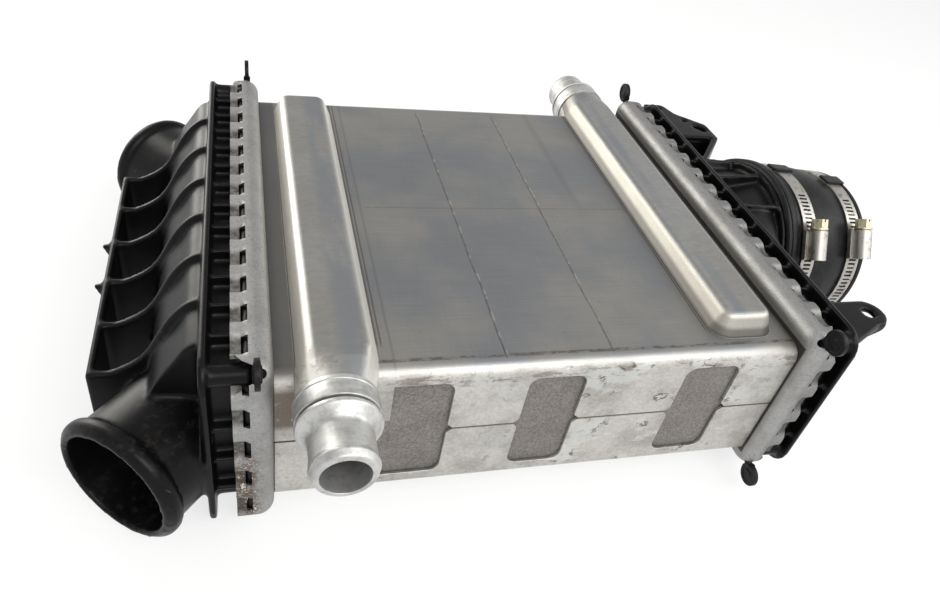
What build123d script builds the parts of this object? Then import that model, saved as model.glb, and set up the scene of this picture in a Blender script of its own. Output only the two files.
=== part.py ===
"""Liquid-cooled charge-air intercooler: brazed aluminium core, crimped plastic end tanks.

Frame: millimetres, +Z up, +X from the inlet tank to the outlet tank.  The origin is the
centre of the jacket's flat underside.  The core repeats itself when turned half a turn
about the Z axis.
"""
from build123d import *
import os
from math import cos, floor, radians, sin, tan

os.makedirs("parts", exist_ok=True)

# ---------------------------------------------------------------- core and its jacket
core_length = 205.4          # between the two header plates
core_width = 200.0
core_height = 62.6
jacket_wall = 1.5
upper_fold = 6.3             # outside radius of the long top edges
lower_fold = 3.0             # outside radius of the long bottom edges
seam_gap = 0.4               # joint line between upper and lower shell
side_plate_wall = 1.5
fit_gap = 0.1                # all round a piece that slides into another before brazing
overlap = 0.5                # how far parts of one moulding run into each other
past = 1.0                   # how far a cutting body reaches past what it cuts

# Windows in the jacket's long sides, seen on the front; the rear has them turned about Z
window_margin = 6.5          # solid sheet left above and below a window
window_radius = 4.5
window_notch = 1.7           # half width of the notch where the seam meets a window
middle_window = 23.0
middle_window_centre = -0.5
outer_window = 24.0
outer_window_centre = 65.6
spigot_window = 50.4
spigot_window_centre = -65.5
window_tab_near = 13.4       # the tab in that window, from the spigot's axis to its sides
window_tab_far = 20.9
window_tab_low = 38.5        # height of the tab's free end

# Coolant channels pressed in the top sheet
channel_offset = 81.6        # from the middle of the core to a channel's centre line
channel_foot = 28.4
channel_rise = 9.4
channel_taper = 23.0
channel_corner = 8.5
channel_crown = 4.0
channel_crown_ease = 0.6     # share of the sheet's wall that the inner crown radius loses
channel_end_margin = 9.0     # from a channel's closed end to the jacket's edge
channel_nose_margin = 7.0    # from the jacket's edge back to where a channel turns round
channel_nose_fillet = 6.0    # of the turning section's lower corners

# Coolant spigots
spigot_offset = 83.4
spigot_height = 59.0
bore_radius = 8.0
neck_radius = 10.6
bead_radius = 11.2
collar_radius = 13.5
collar_bore = 11.2
collar_reach = 8.0           # from the jacket's side to the socket ring
socket_radius = 14.2
socket_bore = 12.0
socket_length = 8.4
spigot_groove = 1.1
flange_radius = 14.2
flange_thickness = 1.6
spud_clearance = 0.3
spud_length = 6.0
shoulder_length = 3.8
neck_length = 10.2
bead_length = 2.4
bead_land = 1.0              # the flat top of the bead
nose_length = 1.8
flange_edge = 0.5
shoulder_sag = 0.9           # how far the concave shoulder stands out past the neck
shoulder_low = 0.38          # where along the shoulder that is
nose_round = 0.6
nose_drop = 1.9              # from the neck's surface to the nose's front edge

# Air tubes with their fins
tube_count = 14
tube_thickness = 9.6
tube_height = 52.0
tube_wall = 0.6
tube_nose_share = 0.495      # radius of a tube's rounded ends over its thickness
tube_projection = 2.0        # past the inside face of a header plate
fin_pitch = 5.2
fin_sheet = 0.4
fin_flat = 0.12              # half of a fold's flat crest over the fold's step
fin_setback = 3.0            # from a tube's end to its fin

# Header plates
header_wall = 1.5
header_side_reach = 5.5      # past the jacket's long sides
header_top_reach = 9.4
header_bottom_reach = 8.5
header_depth = 13.3
header_corner = 8.0
header_ridge = 6.0          # outside radius of the ridge between plate and rim
crimp_pitch = 15.2
crimp_width = 9.4
crimp_slot = 2.3
crimp_slot_start = 7.6       # from the plate's core-side face
crimp_press = 2.0
crimp_ramp = 1.5
crimp_spread = 0.4           # share of the ramp by which a strip is wider inside than outside
side_crimp_pitch = 15.9
side_crimp_first = 2.9       # height of the lowest crimp on the short sides
corner_notch_start = 2.2     # from the plate's core-side face to the notch's round end
corner_notch_radius = 1.7    # of that end
corner_notch_waist = 4.4     # half width where the notch starts to flare
corner_notch_mouth = 7.6     # half width at the rim's edge
corner_notch_flare = 3.6     # from the rim's edge to the waist

# Gaskets
gasket_thickness = 1.6
gasket_width = 4.0
tag_radius = 5.2
tag_thickness = 2.2
tag_stalk = 3.0
tag_reach = 5.6              # from the header's corner to the centre of a tag
tag_rim_width = 1.4
tag_rim_height = 0.5
tag_dot_radius = 1.6
tag_setback = 4.1            # from the plate's core-side face to the tag

# Tank feet, cells and rails, the same on both tanks
tank_wall = 3.0
foot_gap = 0.3
foot_chamfer = 2.4
neck_inset = 5.7             # from the foot's outline in to the neck wall
mouth_corner = 8.0
rail_gap = 11.0              # from the foot to the rail
rail_thickness = 2.5
rail_side_reach = 5.0        # past the jacket's long sides
rail_top_reach = 8.9
rail_bottom_reach = 9.8
rail_corner = 9.0
cell_rib = 1.6
cell_rib_drop = 1.2          # the cell ribs stop short of the header's inside
boss_radius = 3.6
boss_inset = 0.6             # from the foot's corner in to a boss
boss_start = 3.0             # how far a boss runs down past the foot's outer face
corner_relief = 9.0          # depth of the foot's recess behind a tag, from its corner
corner_relief_half = 5.2

# Inlet tank
inlet_height = 20.0          # height of the two inlet necks' centre lines
inlet_angle = 49.8           # from the core's length, in plan
inlet_mouth_x = 155.3        # mouth centres, from the core's middle
inlet_mouth_reach = 4.2      # of a mouth's centre, past the jacket's side
inlet_bore = 20.9
inlet_wall = 2.3
inlet_bead = 25.3
inlet_bead_length = 5.5
inlet_bead_setback = 1.2
plenum_end_setback = 14.0    # from the jacket's side in to the plenum's end
rib_count = 6
rib_end_setback = 35.0       # from the jacket's side in to the outermost rib
rib_thickness = 3.0
plenum_rise = 2.0            # of the plenum's top above the neck wall, at the rail
plenum_shoulder_reach = 8.0
plenum_shoulder_drop = 5.0
plenum_waist_reach = 15.0
plenum_waist_height = 14.0   # above the spine's top
plenum_reach = 20.5
plenum_knee_height = 8.0     # above the inlet's centre line
plenum_ease = 0.6            # share of the wall that the hollow's waist moves in by
plenum_keel_radius = 16.0
plenum_keel_turn = 62.0
plenum_floor_reach = 4.0
rib_root_drop = 3.0          # from the rail's top to the rib's
rib_root_rise = 5.0          # from the rail's bottom to the rib's
rib_shoulder_reach = 5.2
rib_shoulder_drop = 5.2
rib_slope_reach = 15.8
rib_slope_drop = 19.7
rib_foot_reach = 24.9
rib_foot_drop = 32.2
rib_toe_length = 8.0
rib_belly_reach = 20.0
rib_belly_drop = 2.5
inlet_neck_run = 62.0        # from the mouth back into the plenum
inlet_neck_free = 28.0       # the part of it that stands clear of the plenum
inlet_bead_round = 1.9
spine_reach = 40.7           # from the rail to the outside of the spine wall
spine_thickness = 2.6
spine_top = 35.0
spine_bottom = 6.0
lug_pitch = 27.0
lug_size = 4.0
lug_thickness = 2.4
lug_drop = 2.0               # from the spine's top
lug_slope = 2.5              # a lug's height over its reach

# Outlet tank
outlet_y = 20.0              # centre of the outlet neck's collar
outlet_z = 27.5
outlet_start = 22.2          # from the rail to the hose's end
outlet_yaw = 4.0
outlet_dip = 6.0
outlet_neck_radius = 40.0
outlet_wall = 3.0
outlet_neck_length = 24.0    # past the collar, inside the hose
collar_thickness = 2.0       # of the ring the hose's end stops against
collar_reach_out = 5.0       # of that ring, past the outlet neck
body_corner = 12.0           # of the outlet body's outline at the rail
outlet_rib_count = 12
outlet_rib_thickness = 2.2
outlet_rib_depth = 5.0       # how far a rib runs into the outlet body

# Coupling hose
hose_wall = 4.4
hose_fit = 0.2
hose_length = 58.5
hose_lip_radius = 46.8
hose_lip_length = 7.0
hose_taper = 1.2             # how much smaller its radius is at the free end
hose_lip_edge = 1.5
hose_bulge = 1.0             # how far the hose swells between its clamps
hose_bead = 0.8              # how far the free end stands out past the far clamp
hose_step_start = 2.0        # from the outlet neck's end to the step in the hose's bore
hose_step_length = 6.0
clamp_seat_margin = 1.0      # each side of a band

# Worm-drive clamps
band_thickness = 0.8
band_width = 9.0
near_clamp_position = 12.0   # from the hose's end to the band's edge
far_clamp_position = 45.6
clamp_fit = 0.1
housing_length = 15.0
housing_width = 12.0
housing_wall = 1.1
housing_gap = 0.3            # from the band to the housing
screw_radius = 3.3
screw_overhang = 6.0
screw_head_radius = 4.1
screw_head_length = 4.6
screw_collar_length = 1.2
screw_collar_gap = 0.4       # from the housing to the screw's collar
screw_tip_setback = 1.0      # the screw's tip stops this far inside the housing
driver_slot_width = 1.0
driver_slot_depth = 1.4
near_clamp_angle = 145.0     # of the screw housing, from the hose's rear over its top to its front
far_clamp_angle = 143.0
keeper_width = 7.0
keeper_length = 13.0
keeper_thickness = 1.6
near_keeper_angle = 82.0     # measured like the clamp angles
far_keeper_angle = 90.0

# Mounting bracket and ear on the outlet tank
bracket_height = 65.0        # top of the bracket plate
bracket_plate = 3.0
bracket_skirt = 14.0
bracket_reach = 31.2         # from the rail
bracket_start_setback = 54.0  # from the jacket's side in to the bracket's near end
bracket_end_reach = 12.0     # past the jacket's side
bracket_wall = 2.2
bracket_root = 10.0          # width at the rail, before the slanted edge starts
bracket_slope_run = 26.0     # of the slanted edge, along the rail
bracket_nose_run = 24.0      # from the far end back to the outermost corner
bracket_nose_width = 15.0
bracket_tip_drop = 11.0
bracket_tip_width = 13.0
bracket_corner = 3.0
bracket_mid_in = 19.0        # the middle hole, from the rail and from the far end
bracket_mid_back = 20.0
bracket_slot_in = 25.0       # the slot, from the rail and from the far end
bracket_slot_back = 29.0
bracket_slot_turn = -50.0
bracket_hole_radius = 1.8
bracket_slot_radius = 2.6
bracket_slot_length = 9.0
ear_height = 65.0
ear_plate = 3.0
ear_setback = 18.6           # from the jacket's side in to the ear's hole
ear_reach = 23.0             # from the rail to the ear's hole
ear_radius = 8.0
ear_hole_radius = 3.1
ear_root_front = 20.0        # from the hole to the plate's front end at the rail
ear_skirt = 21.0

# ---------------------------------------------------------------- values that follow
half_length = core_length / 2
half_width = core_width / 2
mid_height = core_height / 2
side_windows = (
    (spigot_window_centre, spigot_window),
    (middle_window_centre, middle_window),
    (outer_window_centre, outer_window),
)
inner_side = half_width - jacket_wall            # inside face of the jacket's sides
header_half_width = half_width + header_side_reach
header_top = core_height + header_top_reach
header_bottom = -header_bottom_reach
header_mid = (header_top + header_bottom) / 2
header_tall = header_top - header_bottom
base_face = half_length + header_wall            # tank-side face of the header's base
rim_end = half_length + header_depth
foot_start = base_face + gasket_thickness
foot_end = half_length + crimp_slot_start + crimp_slot - foot_gap
rail_start = foot_end + rail_gap
rail_end = rail_start + rail_thickness
foot_half_width = header_half_width - header_wall - foot_gap
foot_top = header_top - header_wall - foot_gap
foot_bottom = header_bottom + header_wall + foot_gap
neck_half_width = foot_half_width - neck_inset
neck_top = foot_top - neck_inset
neck_bottom = foot_bottom + neck_inset
mouth_half_width = neck_half_width - tank_wall
mouth_top = neck_top - tank_wall
mouth_bottom = neck_bottom + tank_wall
rail_half_width = half_width + rail_side_reach
rail_top = core_height + rail_top_reach
rail_bottom = -rail_bottom_reach
channel_nose_start = -half_width + channel_nose_margin
crimp_half_count = floor((header_half_width - header_corner - crimp_width / 2) / crimp_pitch)
crimp_rows = [k * crimp_pitch for k in range(-crimp_half_count, crimp_half_count + 1)]
side_crimp_count = floor((header_top - header_corner - side_crimp_first - crimp_width / 2)
                         / side_crimp_pitch) + 1
side_crimp_rows = [side_crimp_first + k * side_crimp_pitch for k in range(side_crimp_count)]
tube_pitch = (core_width - 2 * (jacket_wall + side_plate_wall + 2 * fit_gap)) / tube_count
tube_rows = [(k - (tube_count - 1) / 2) * tube_pitch for k in range(tube_count)]
inlet_mouth_y = half_width + inlet_mouth_reach
plenum_half_length = half_width - plenum_end_setback
rib_pitch = 2 * (half_width - rib_end_setback) / (rib_count - 1)
bracket_near_y = half_width - bracket_start_setback
bracket_far_y = half_width + bracket_end_reach
ear_y = ear_setback - half_width
hose_near_radius = outlet_neck_radius + hose_fit + hose_wall
hose_far_radius = hose_near_radius - hose_taper


# ---------------------------------------------------------------- helpers
def block(x_low, x_high, y_low, y_high, z_low, z_high):
    """A box between three pairs of coordinates."""
    centre = ((x_low + x_high) / 2, (y_low + y_high) / 2, (z_low + z_high) / 2)
    return Pos(*centre) * Box(x_high - x_low, y_high - y_low, z_high - z_low)


def along_x(sketch, x_low, x_high):
    """Extrude a sketch drawn in Y and Z between two stations along X."""
    return extrude(Plane.YZ.offset(x_low) * sketch, x_high - x_low)


def frame_outline(half_y, z_low, z_high, corner):
    """A rounded rectangle in the Y-Z plane, centred across the core."""
    return Pos(0, (z_low + z_high) / 2) * RectangleRounded(2 * half_y, z_high - z_low, corner)


def rod(start, direction, length, radius):
    """A cylinder from a point along a direction."""
    return extrude(Plane(origin=start, z_dir=direction) * Circle(radius), length)


def half_turn(shape):
    """The same shape turned half a turn about Z."""
    return Rot(0, 0, 180) * shape


def mirrored(shape):
    """The same shape on the other end of the core."""
    return mirror(shape, about=Plane.YZ)


def save(name, shape):
    """Write one node to its own STEP file, as a plain compound of its solids."""
    solids = shape.solids() if hasattr(shape, "solids") else shape
    node = solids[0] if len(solids) == 1 else Compound(children=list(solids))
    node.label = name
    export_step(node, os.path.join("parts", name + ".step"))


# ---------------------------------------------------------------- jacket
def jacket_outline(inset):
    """The jacket's closed section in Y-Z, moved in by a distance."""
    low, high = inset, core_height - inset
    wide = half_width - inset
    top_radius = upper_fold - inset
    bottom_radius = lower_fold - inset
    outline = Rectangle(2 * wide, high - low)
    outline = fillet(outline.vertices().group_by(Axis.Y)[-1], top_radius)
    outline = fillet(outline.vertices().group_by(Axis.Y)[0], bottom_radius)
    return Pos(0, (low + high) / 2) * outline


def channel_form(inset):
    """One tapered channel over the top sheet; inset gives its hollow inside."""
    side = inset / cos(radians(channel_taper))
    spread = jacket_wall * tan(radians(channel_taper))
    y_open = -half_width - 2 * channel_corner
    y_closed = half_width - channel_end_margin
    wide = channel_foot + 2 * spread - 2 * side
    long = y_closed - y_open + 2 * spread - 2 * side
    outline = Pos(-channel_offset, (y_open + y_closed) / 2) * RectangleRounded(
        wide, long, channel_corner)
    form = extrude(Plane.XY.offset(core_height - jacket_wall) * outline,
                   channel_rise + jacket_wall - inset, taper=channel_taper)
    crown = form.faces().sort_by(Axis.Z)[-1]
    form = fillet(crown.edges(), channel_crown - inset * channel_crown_ease)
    return form & block(-half_length, 0, channel_nose_start, half_width, 0, 2 * core_height)


def channel_nose():
    """The channel's end over the jacket's edge, turning from its section to a round."""
    half_foot = channel_foot / 2
    half_crown = half_foot - channel_rise * tan(radians(channel_taper))
    low = spigot_height - collar_radius
    high = core_height + channel_rise
    section = make_face(Polyline(
        (-half_foot, low), (half_foot, low), (half_foot, core_height), (half_crown, high),
        (-half_crown, high), (-half_foot, core_height), close=True))
    rows = section.vertices().group_by(Axis.Y)
    section = fillet(rows[-1], channel_crown)
    section = fillet(section.vertices().group_by(Axis.Y)[0], channel_nose_fillet)
    face_y = -half_width - collar_reach
    return loft([Plane.XZ.offset(-channel_nose_start) * Pos(-channel_offset, 0) * section,
                 Plane.XZ.offset(-face_y) * Pos(-spigot_offset, spigot_height)
                 * Circle(collar_radius)])


def spigot_axis_rod(y_start, y_end, radius):
    """A cylinder on the front coolant spigot's centre line."""
    return rod((-spigot_offset, y_start, spigot_height), (0, -1, 0), y_start - y_end, radius)


def side_windows_cut():
    """Windows and seam notches for the front, as one cutting body."""
    cuts = []
    tab_middle = (window_tab_near + window_tab_far) / 2 - spigot_offset
    tab = Pos(tab_middle, window_tab_low + mid_height) * Rectangle(
        window_tab_far - window_tab_near, core_height)
    for centre, wide in side_windows:
        outline = Pos(centre, mid_height) * RectangleRounded(
            wide, core_height - 2 * window_margin, window_radius) - tab
        notches = [Pos(centre + side * wide / 2, mid_height)
                   * Rot(0, 0, 45) * Rectangle(2 * window_notch, 2 * window_notch)
                   for side in (-1, 1)]
        for shape in [outline] + notches:
            cuts.append(extrude(Plane.XZ.offset(inner_side - fit_gap) * shape,
                                jacket_wall + 2 * fit_gap))
    return cuts


def make_jacket():
    """The upper and lower shells: folded sheets that meet at the seam."""
    hollow = along_x(jacket_outline(jacket_wall), -half_length - past, half_length + past)
    skin = along_x(jacket_outline(0), -half_length, half_length)
    windows = side_windows_cut()
    upper = skin - hollow
    lower = upper
    for cut in windows + [half_turn(cut) for cut in windows]:
        upper -= cut
        lower -= cut
    tall = core_height + channel_rise + socket_radius
    wide = half_width + collar_reach + past
    upper &= block(-half_length, half_length, -wide, wide, mid_height + seam_gap / 2, tall)
    lower &= block(-half_length, half_length, -wide, wide, -past, mid_height - seam_gap / 2)
    front_face = -half_width - collar_reach
    nose = channel_nose()
    bore = spigot_axis_rod(-half_width + channel_end_margin + channel_corner,
                           front_face - past, collar_bore)
    for turn in (lambda shape: shape, half_turn):
        upper += turn(channel_form(0))
        upper += turn(nose)
        upper -= turn(channel_form(jacket_wall))
    upper -= hollow
    for turn in (lambda shape: shape, half_turn):
        upper -= turn(bore)
    return upper, lower


def make_side_plate():
    """The flat inner plate that closes the front windows from behind."""
    room = along_x(jacket_outline(jacket_wall + fit_gap), -half_length, half_length)
    plate = room & block(-half_length, half_length, -half_width,
                         -inner_side + fit_gap + side_plate_wall, -past,
                         core_height + past)
    return plate - spigot_axis_rod(-half_width + channel_end_margin,
                                   -half_width - past, collar_radius)


# ---------------------------------------------------------------- air tubes
def tube_outline(inset):
    """A flat tube's section in Y-Z, moved in by a distance."""
    thick = tube_thickness - 2 * inset
    return Pos(0, mid_height) * RectangleRounded(thick, tube_height - 2 * inset, thick * tube_nose_share)


def make_tube(y):
    """One flat air tube through both header plates."""
    reach = base_face + tube_projection
    tube = along_x(tube_outline(0), -reach, reach) - along_x(tube_outline(tube_wall),
                                                             -reach - past, reach + past)
    return Pos(0, y, 0) * tube


def make_fin(y):
    """The corrugated sheet inside one air tube, folded along the air's way."""
    reach = base_face + tube_projection - fin_setback
    half_fold = tube_thickness / 2 - tube_wall - fit_gap - fin_sheet / 2
    straight = tube_height - tube_thickness
    folds = 2 * floor(straight / fin_pitch)
    step = straight / folds
    points = []
    for k in range(folds + 1):
        side = half_fold if k % 2 else -half_fold
        z = mid_height - straight / 2 + k * step
        points += [(side, z - step * fin_flat), (side, z + step * fin_flat)]
    outline = make_face(offset(Polyline(*points), fin_sheet / 2, side=Side.BOTH,
                               kind=Kind.INTERSECTION))
    return Pos(0, y, 0) * along_x(outline, -reach, reach)


# ---------------------------------------------------------------- header plates
def crimp_wave(press_side):
    """The outline of one pressed strip, drawn across a wall whose outside is at zero.

    With press_side False this is what is cut from the outside, with True what is added
    to the inside.
    """
    depth = crimp_press
    half = crimp_width / 2
    if press_side:
        shift = header_wall
        spread = crimp_ramp * crimp_spread
        points = [(-half - spread, -shift), (-half + crimp_ramp - spread, -shift - depth),
                  (half - crimp_ramp + spread, -shift - depth), (half + spread, -shift)]
    else:
        points = [(-half, 0), (-half + crimp_ramp, -depth), (half - crimp_ramp, -depth),
                  (half, 0), (half, past), (-half, past)]
    return make_face(Polyline(*points, close=True))


def crimp_places():
    """Where each crimp lies on the header's rim, as a placement in Y-Z."""
    places = []
    for y in crimp_rows:
        places.append(Pos(y, header_top))
        places.append(Pos(y, header_bottom) * Rot(0, 0, 180))
    for z in side_crimp_rows:
        places.append(Pos(header_half_width, z) * Rot(0, 0, -90))
        places.append(Pos(-header_half_width, z) * Rot(0, 0, 90))
    return places


def corner_point(side, top, reach):
    """A point on the header's corner diagonal, measured outward from the rounded corner."""
    turn = radians(45)
    y = header_half_width - header_corner + (header_corner + reach) * cos(turn)
    z = (header_corner + reach) * sin(turn) - header_corner
    return (side * y, header_top + z if top else header_bottom - z)


def corner_direction(side, top):
    """The outward direction of a header corner in Y-Z."""
    return (0, side * cos(radians(45)), sin(radians(45)) if top else -sin(radians(45)))


def make_header(tag_corners):
    """A header on the outlet end: its tube plate, and its ridge and rim with the crimps.

    It is one pressing. The flat middle and the rim round it are two nodes that meet face
    to face, so that each can have a collision that follows it.
    """
    outline = frame_outline(header_half_width, header_bottom, header_top, header_corner)
    inside = frame_outline(header_half_width - header_wall, header_bottom + header_wall,
                           header_top - header_wall, header_corner - header_wall)
    flat = frame_outline(header_half_width - header_ridge, header_bottom + header_ridge,
                         header_top - header_ridge, header_corner - header_ridge)
    plate = along_x(outline, half_length, rim_end)
    plate = fillet(plate.faces().sort_by(Axis.X)[0].edges(), header_ridge)
    room = along_x(inside, base_face, rim_end + past)
    plate -= fillet(room.faces().sort_by(Axis.X)[0].edges(), header_ridge - header_wall)
    slot_start = half_length + crimp_slot_start
    slot_end = slot_start + crimp_slot
    cuts = []
    adds = []
    for place in crimp_places():
        slot = place * Pos(0, -header_wall / 2) * Rectangle(crimp_width, header_wall + past)
        cuts.append(along_x(slot, slot_start, slot_end))
        cuts.append(along_x(place * crimp_wave(False), slot_end, rim_end))
        adds.append(along_x(place * crimp_wave(True), slot_end, rim_end))
    plate = plate + adds
    plate = plate - cuts
    tube_hole = tube_outline(-fit_gap / 2)
    holes = [Pos(0, y, 0) * along_x(tube_hole, half_length - past, base_face + past)
             for y in tube_rows]
    plate = plate - holes
    eye = corner_notch_start + corner_notch_radius
    waist = header_depth - corner_notch_flare
    half_notch = [(eye, corner_notch_radius), (waist, corner_notch_waist),
                  (header_depth, corner_notch_mouth), (header_depth + past, corner_notch_mouth)]
    notch = make_face(Polyline(*half_notch, *[(x, -y) for x, y in reversed(half_notch)],
                               close=True)) + Pos(eye, 0) * Circle(corner_notch_radius)
    for side, top in tag_corners:
        y, z = corner_point(side, top, -header_corner)
        place = Plane(origin=(half_length, y, z), x_dir=(1, 0, 0),
                      z_dir=corner_direction(side, top))
        plate -= extrude(place * notch, 3 * header_corner)
    middle = along_x(flat, half_length - past, base_face)
    return plate & middle, plate - middle


# ---------------------------------------------------------------- gaskets
def make_gasket(tag_corners):
    """The flat seal between a header's base and the tank's foot, with its corner tags."""
    margin = header_ridge + foot_gap
    half_y = header_half_width - margin
    low = header_bottom + margin
    high = header_top - margin
    corner = header_corner - header_ridge
    ring = frame_outline(half_y, low, high, corner)
    hole = frame_outline(half_y - gasket_width, low + gasket_width, high - gasket_width,
                         corner)
    gasket = along_x(ring - hole, base_face, foot_start)
    tag_start = half_length + tag_setback
    tag_end = tag_start + tag_thickness
    inward = margin + tag_stalk
    for side, top in tag_corners:
        direction = corner_direction(side, top)
        y, z = corner_point(side, top, tag_reach)
        place = Pos(y, z)
        rim = place * (Circle(tag_radius) - Circle(tag_radius - tag_rim_width))
        y_in, z_in = corner_point(side, top, -inward)
        stalk = Plane(origin=((tag_start + tag_end) / 2, y_in, z_in), x_dir=(1, 0, 0),
                      z_dir=direction) * Rectangle(tag_thickness, tag_stalk)
        root = Plane(origin=((base_face + tag_end) / 2, y_in, z_in), x_dir=(1, 0, 0),
                     z_dir=direction) * Rectangle(tag_end - base_face, tag_stalk)
        gasket = gasket + [
            along_x(place * Circle(tag_radius), tag_start, tag_end),
            along_x(rim, tag_start - tag_rim_height, tag_end + tag_rim_height),
            along_x(place * Circle(tag_dot_radius), tag_start - tag_rim_height, tag_start),
            extrude(stalk, inward + tag_reach), extrude(root, tag_stalk)]
    return gasket


# ---------------------------------------------------------------- tank base
def make_tank_base(tag_corners):
    """Foot, neck wall, cell ribs and rail of a tank on the outlet end, still solid."""
    foot = along_x(frame_outline(foot_half_width, foot_bottom, foot_top,
                                 header_corner - header_wall - foot_gap), foot_start, foot_end)
    foot = chamfer(foot.faces().sort_by(Axis.X)[0].edges(), foot_chamfer)
    neck = along_x(frame_outline(neck_half_width, neck_bottom, neck_top, header_corner / 2),
                   foot_start, rail_end)
    rail = along_x(frame_outline(rail_half_width, rail_bottom, rail_top, rail_corner),
                   rail_start, rail_end)
    rib_top = foot_top - cell_rib_drop
    rib_bottom = foot_bottom + cell_rib_drop
    rib_side = foot_half_width - cell_rib_drop
    pieces = [neck, rail]
    start = foot_end - overlap
    for y_low, y_high in zip(crimp_rows[:-1], crimp_rows[1:]):
        y = (y_low + y_high) / 2
        pieces.append(block(start, rail_start + overlap, y - cell_rib / 2, y + cell_rib / 2,
                            rib_bottom, rib_top))
    for z_low, z_high in zip(side_crimp_rows[:-1], side_crimp_rows[1:]):
        z = (z_low + z_high) / 2
        pieces.append(block(start, rail_start + overlap, -rib_side, rib_side,
                            z - cell_rib / 2, z + cell_rib / 2))
    base = foot + pieces
    for side, top in tag_corners:
        y, z = corner_point(side, top, -header_wall - foot_gap - corner_relief)
        relief = extrude(Plane(origin=(foot_start, y, z), x_dir=(1, 0, 0),
                               z_dir=corner_direction(side, top))
                         * Rectangle(2 * (foot_end - foot_start),
                                                 2 * corner_relief_half), 3 * corner_relief)
        base -= relief
        y, z = corner_point(side, top, -header_wall - foot_gap - boss_radius - boss_inset)
        base += rod((foot_end - boss_start, y, z), (1, 0, 0),
                    rail_start + overlap - foot_end + boss_start, boss_radius)
    return base


def tank_mouth(x_start, x_end):
    """The air space inside a tank's foot and neck wall, on the outlet end."""
    return along_x(frame_outline(mouth_half_width, mouth_bottom, mouth_top, mouth_corner),
                   x_start, x_end)


# ---------------------------------------------------------------- inlet tank
def plenum_outline(inset):
    """The inlet plenum's section in X-Z, from the rail outward along -X."""
    x0 = -rail_end
    low = inlet_height - inlet_bore - inlet_wall + inset
    ease = plenum_ease * inset
    start = (x0, neck_top + plenum_rise - inset)
    end = (x0 - plenum_reach + inset, inlet_height + plenum_knee_height)
    upper = Spline(start, (x0 - plenum_shoulder_reach, neck_top - plenum_shoulder_drop - inset),
                   (x0 - plenum_waist_reach + ease, spine_top + plenum_waist_height - ease),
                   end, tangents=((-1, -0.15), (-0.15, -1)))
    keel = JernArc(end, upper % 1, plenum_keel_radius - inset, plenum_keel_turn)
    floor_point = (x0 - plenum_floor_reach, low)
    return make_face([upper, keel, Line(keel @ 1, floor_point), Line(floor_point, (x0, low)),
                      Line((x0, low), start)])


def make_plenum(inset):
    """The inlet plenum's body, or with an inset its inside."""
    reach = plenum_half_length - inset
    section = Plane.XZ.offset(-reach) * plenum_outline(inset)
    return extrude(section, 2 * reach)


def rib_outline():
    """One S-shaped rib from the rail over the plenum to the spine wall, in X-Z."""
    x0 = -rail_end
    x_spine = x0 - spine_reach
    root = (x0, rail_top - rib_root_drop)
    heel = (x0, rail_bottom + rib_root_rise)
    top = Spline(root, (x0 - rib_shoulder_reach, rail_top - rib_shoulder_drop),
                 (x0 - rib_slope_reach, rail_top - rib_slope_drop),
                 (x0 - rib_foot_reach, rail_top - rib_foot_drop),
                 (x_spine + rib_toe_length, spine_top), (x_spine, spine_top),
                 tangents=((-1, -0.1), (-1, 0)))
    down = Line((x_spine, spine_top), (x_spine, spine_bottom))
    under = Spline((x_spine, spine_bottom),
                   (x0 - rib_belly_reach, spine_bottom - rib_belly_drop), heel,
                   tangents=((1, 0), (1, -0.2)))
    return make_face([top, down, under, Line(heel, root)])


def inlet_plane(side):
    """The plane of an inlet mouth, its Z pointing out of the mouth."""
    turn = radians(inlet_angle)
    return Plane(origin=(-inlet_mouth_x, side * inlet_mouth_y, inlet_height),
                 x_dir=(0, 0, 1), z_dir=(-cos(turn), side * sin(turn), 0))


def inlet_rod(side, radius, start, length):
    """A cylinder on an inlet neck's axis, from a distance inside the mouth inward."""
    return extrude(inlet_plane(side).offset(-start) * Circle(radius), -length)


def beyond_inlet_rail():
    """The space on the far side of the inlet rail."""
    far_off = header_half_width + inlet_neck_run
    return block(-rail_end - far_off, -rail_end, -2 * far_off, 2 * far_off, -far_off, far_off)


def make_inlet_neck(side):
    """The free end of one inlet neck with its bead."""
    neck = inlet_rod(side, inlet_bore + inlet_wall, 0, inlet_neck_free)
    bead = inlet_rod(side, inlet_bead, inlet_bead_setback, inlet_bead_length)
    bead = fillet(bead.edges().filter_by(GeomType.CIRCLE), inlet_bead_round)
    neck = (neck + bead) & beyond_inlet_rail()
    return neck - inlet_rod(side, inlet_bore, -past, inlet_neck_free + 2 * past)


def make_lug(y):
    """A small wedge on the outside of the spine wall."""
    x_spine = -rail_end - spine_reach
    outline = Polyline((x_spine + overlap, 0), (x_spine - lug_size, 0),
                       (x_spine + overlap, -lug_slope * lug_size), close=True)
    wedge = extrude(Plane.XZ * make_face(outline), lug_thickness / 2, both=True)
    return Pos(0, y, spine_top - lug_drop) * wedge


def make_inlet_body():
    """The inlet plenum with both necks in full, still solid."""
    body = make_plenum(0)
    far_off = header_half_width + inlet_neck_run
    outside = block(-rail_end - far_off, -rail_start, -2 * far_off, 2 * far_off,
                    -far_off, far_off)
    for side in (-1, 1):
        body += inlet_rod(side, inlet_bore + inlet_wall, 0, inlet_neck_run) & outside
    return body


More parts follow.
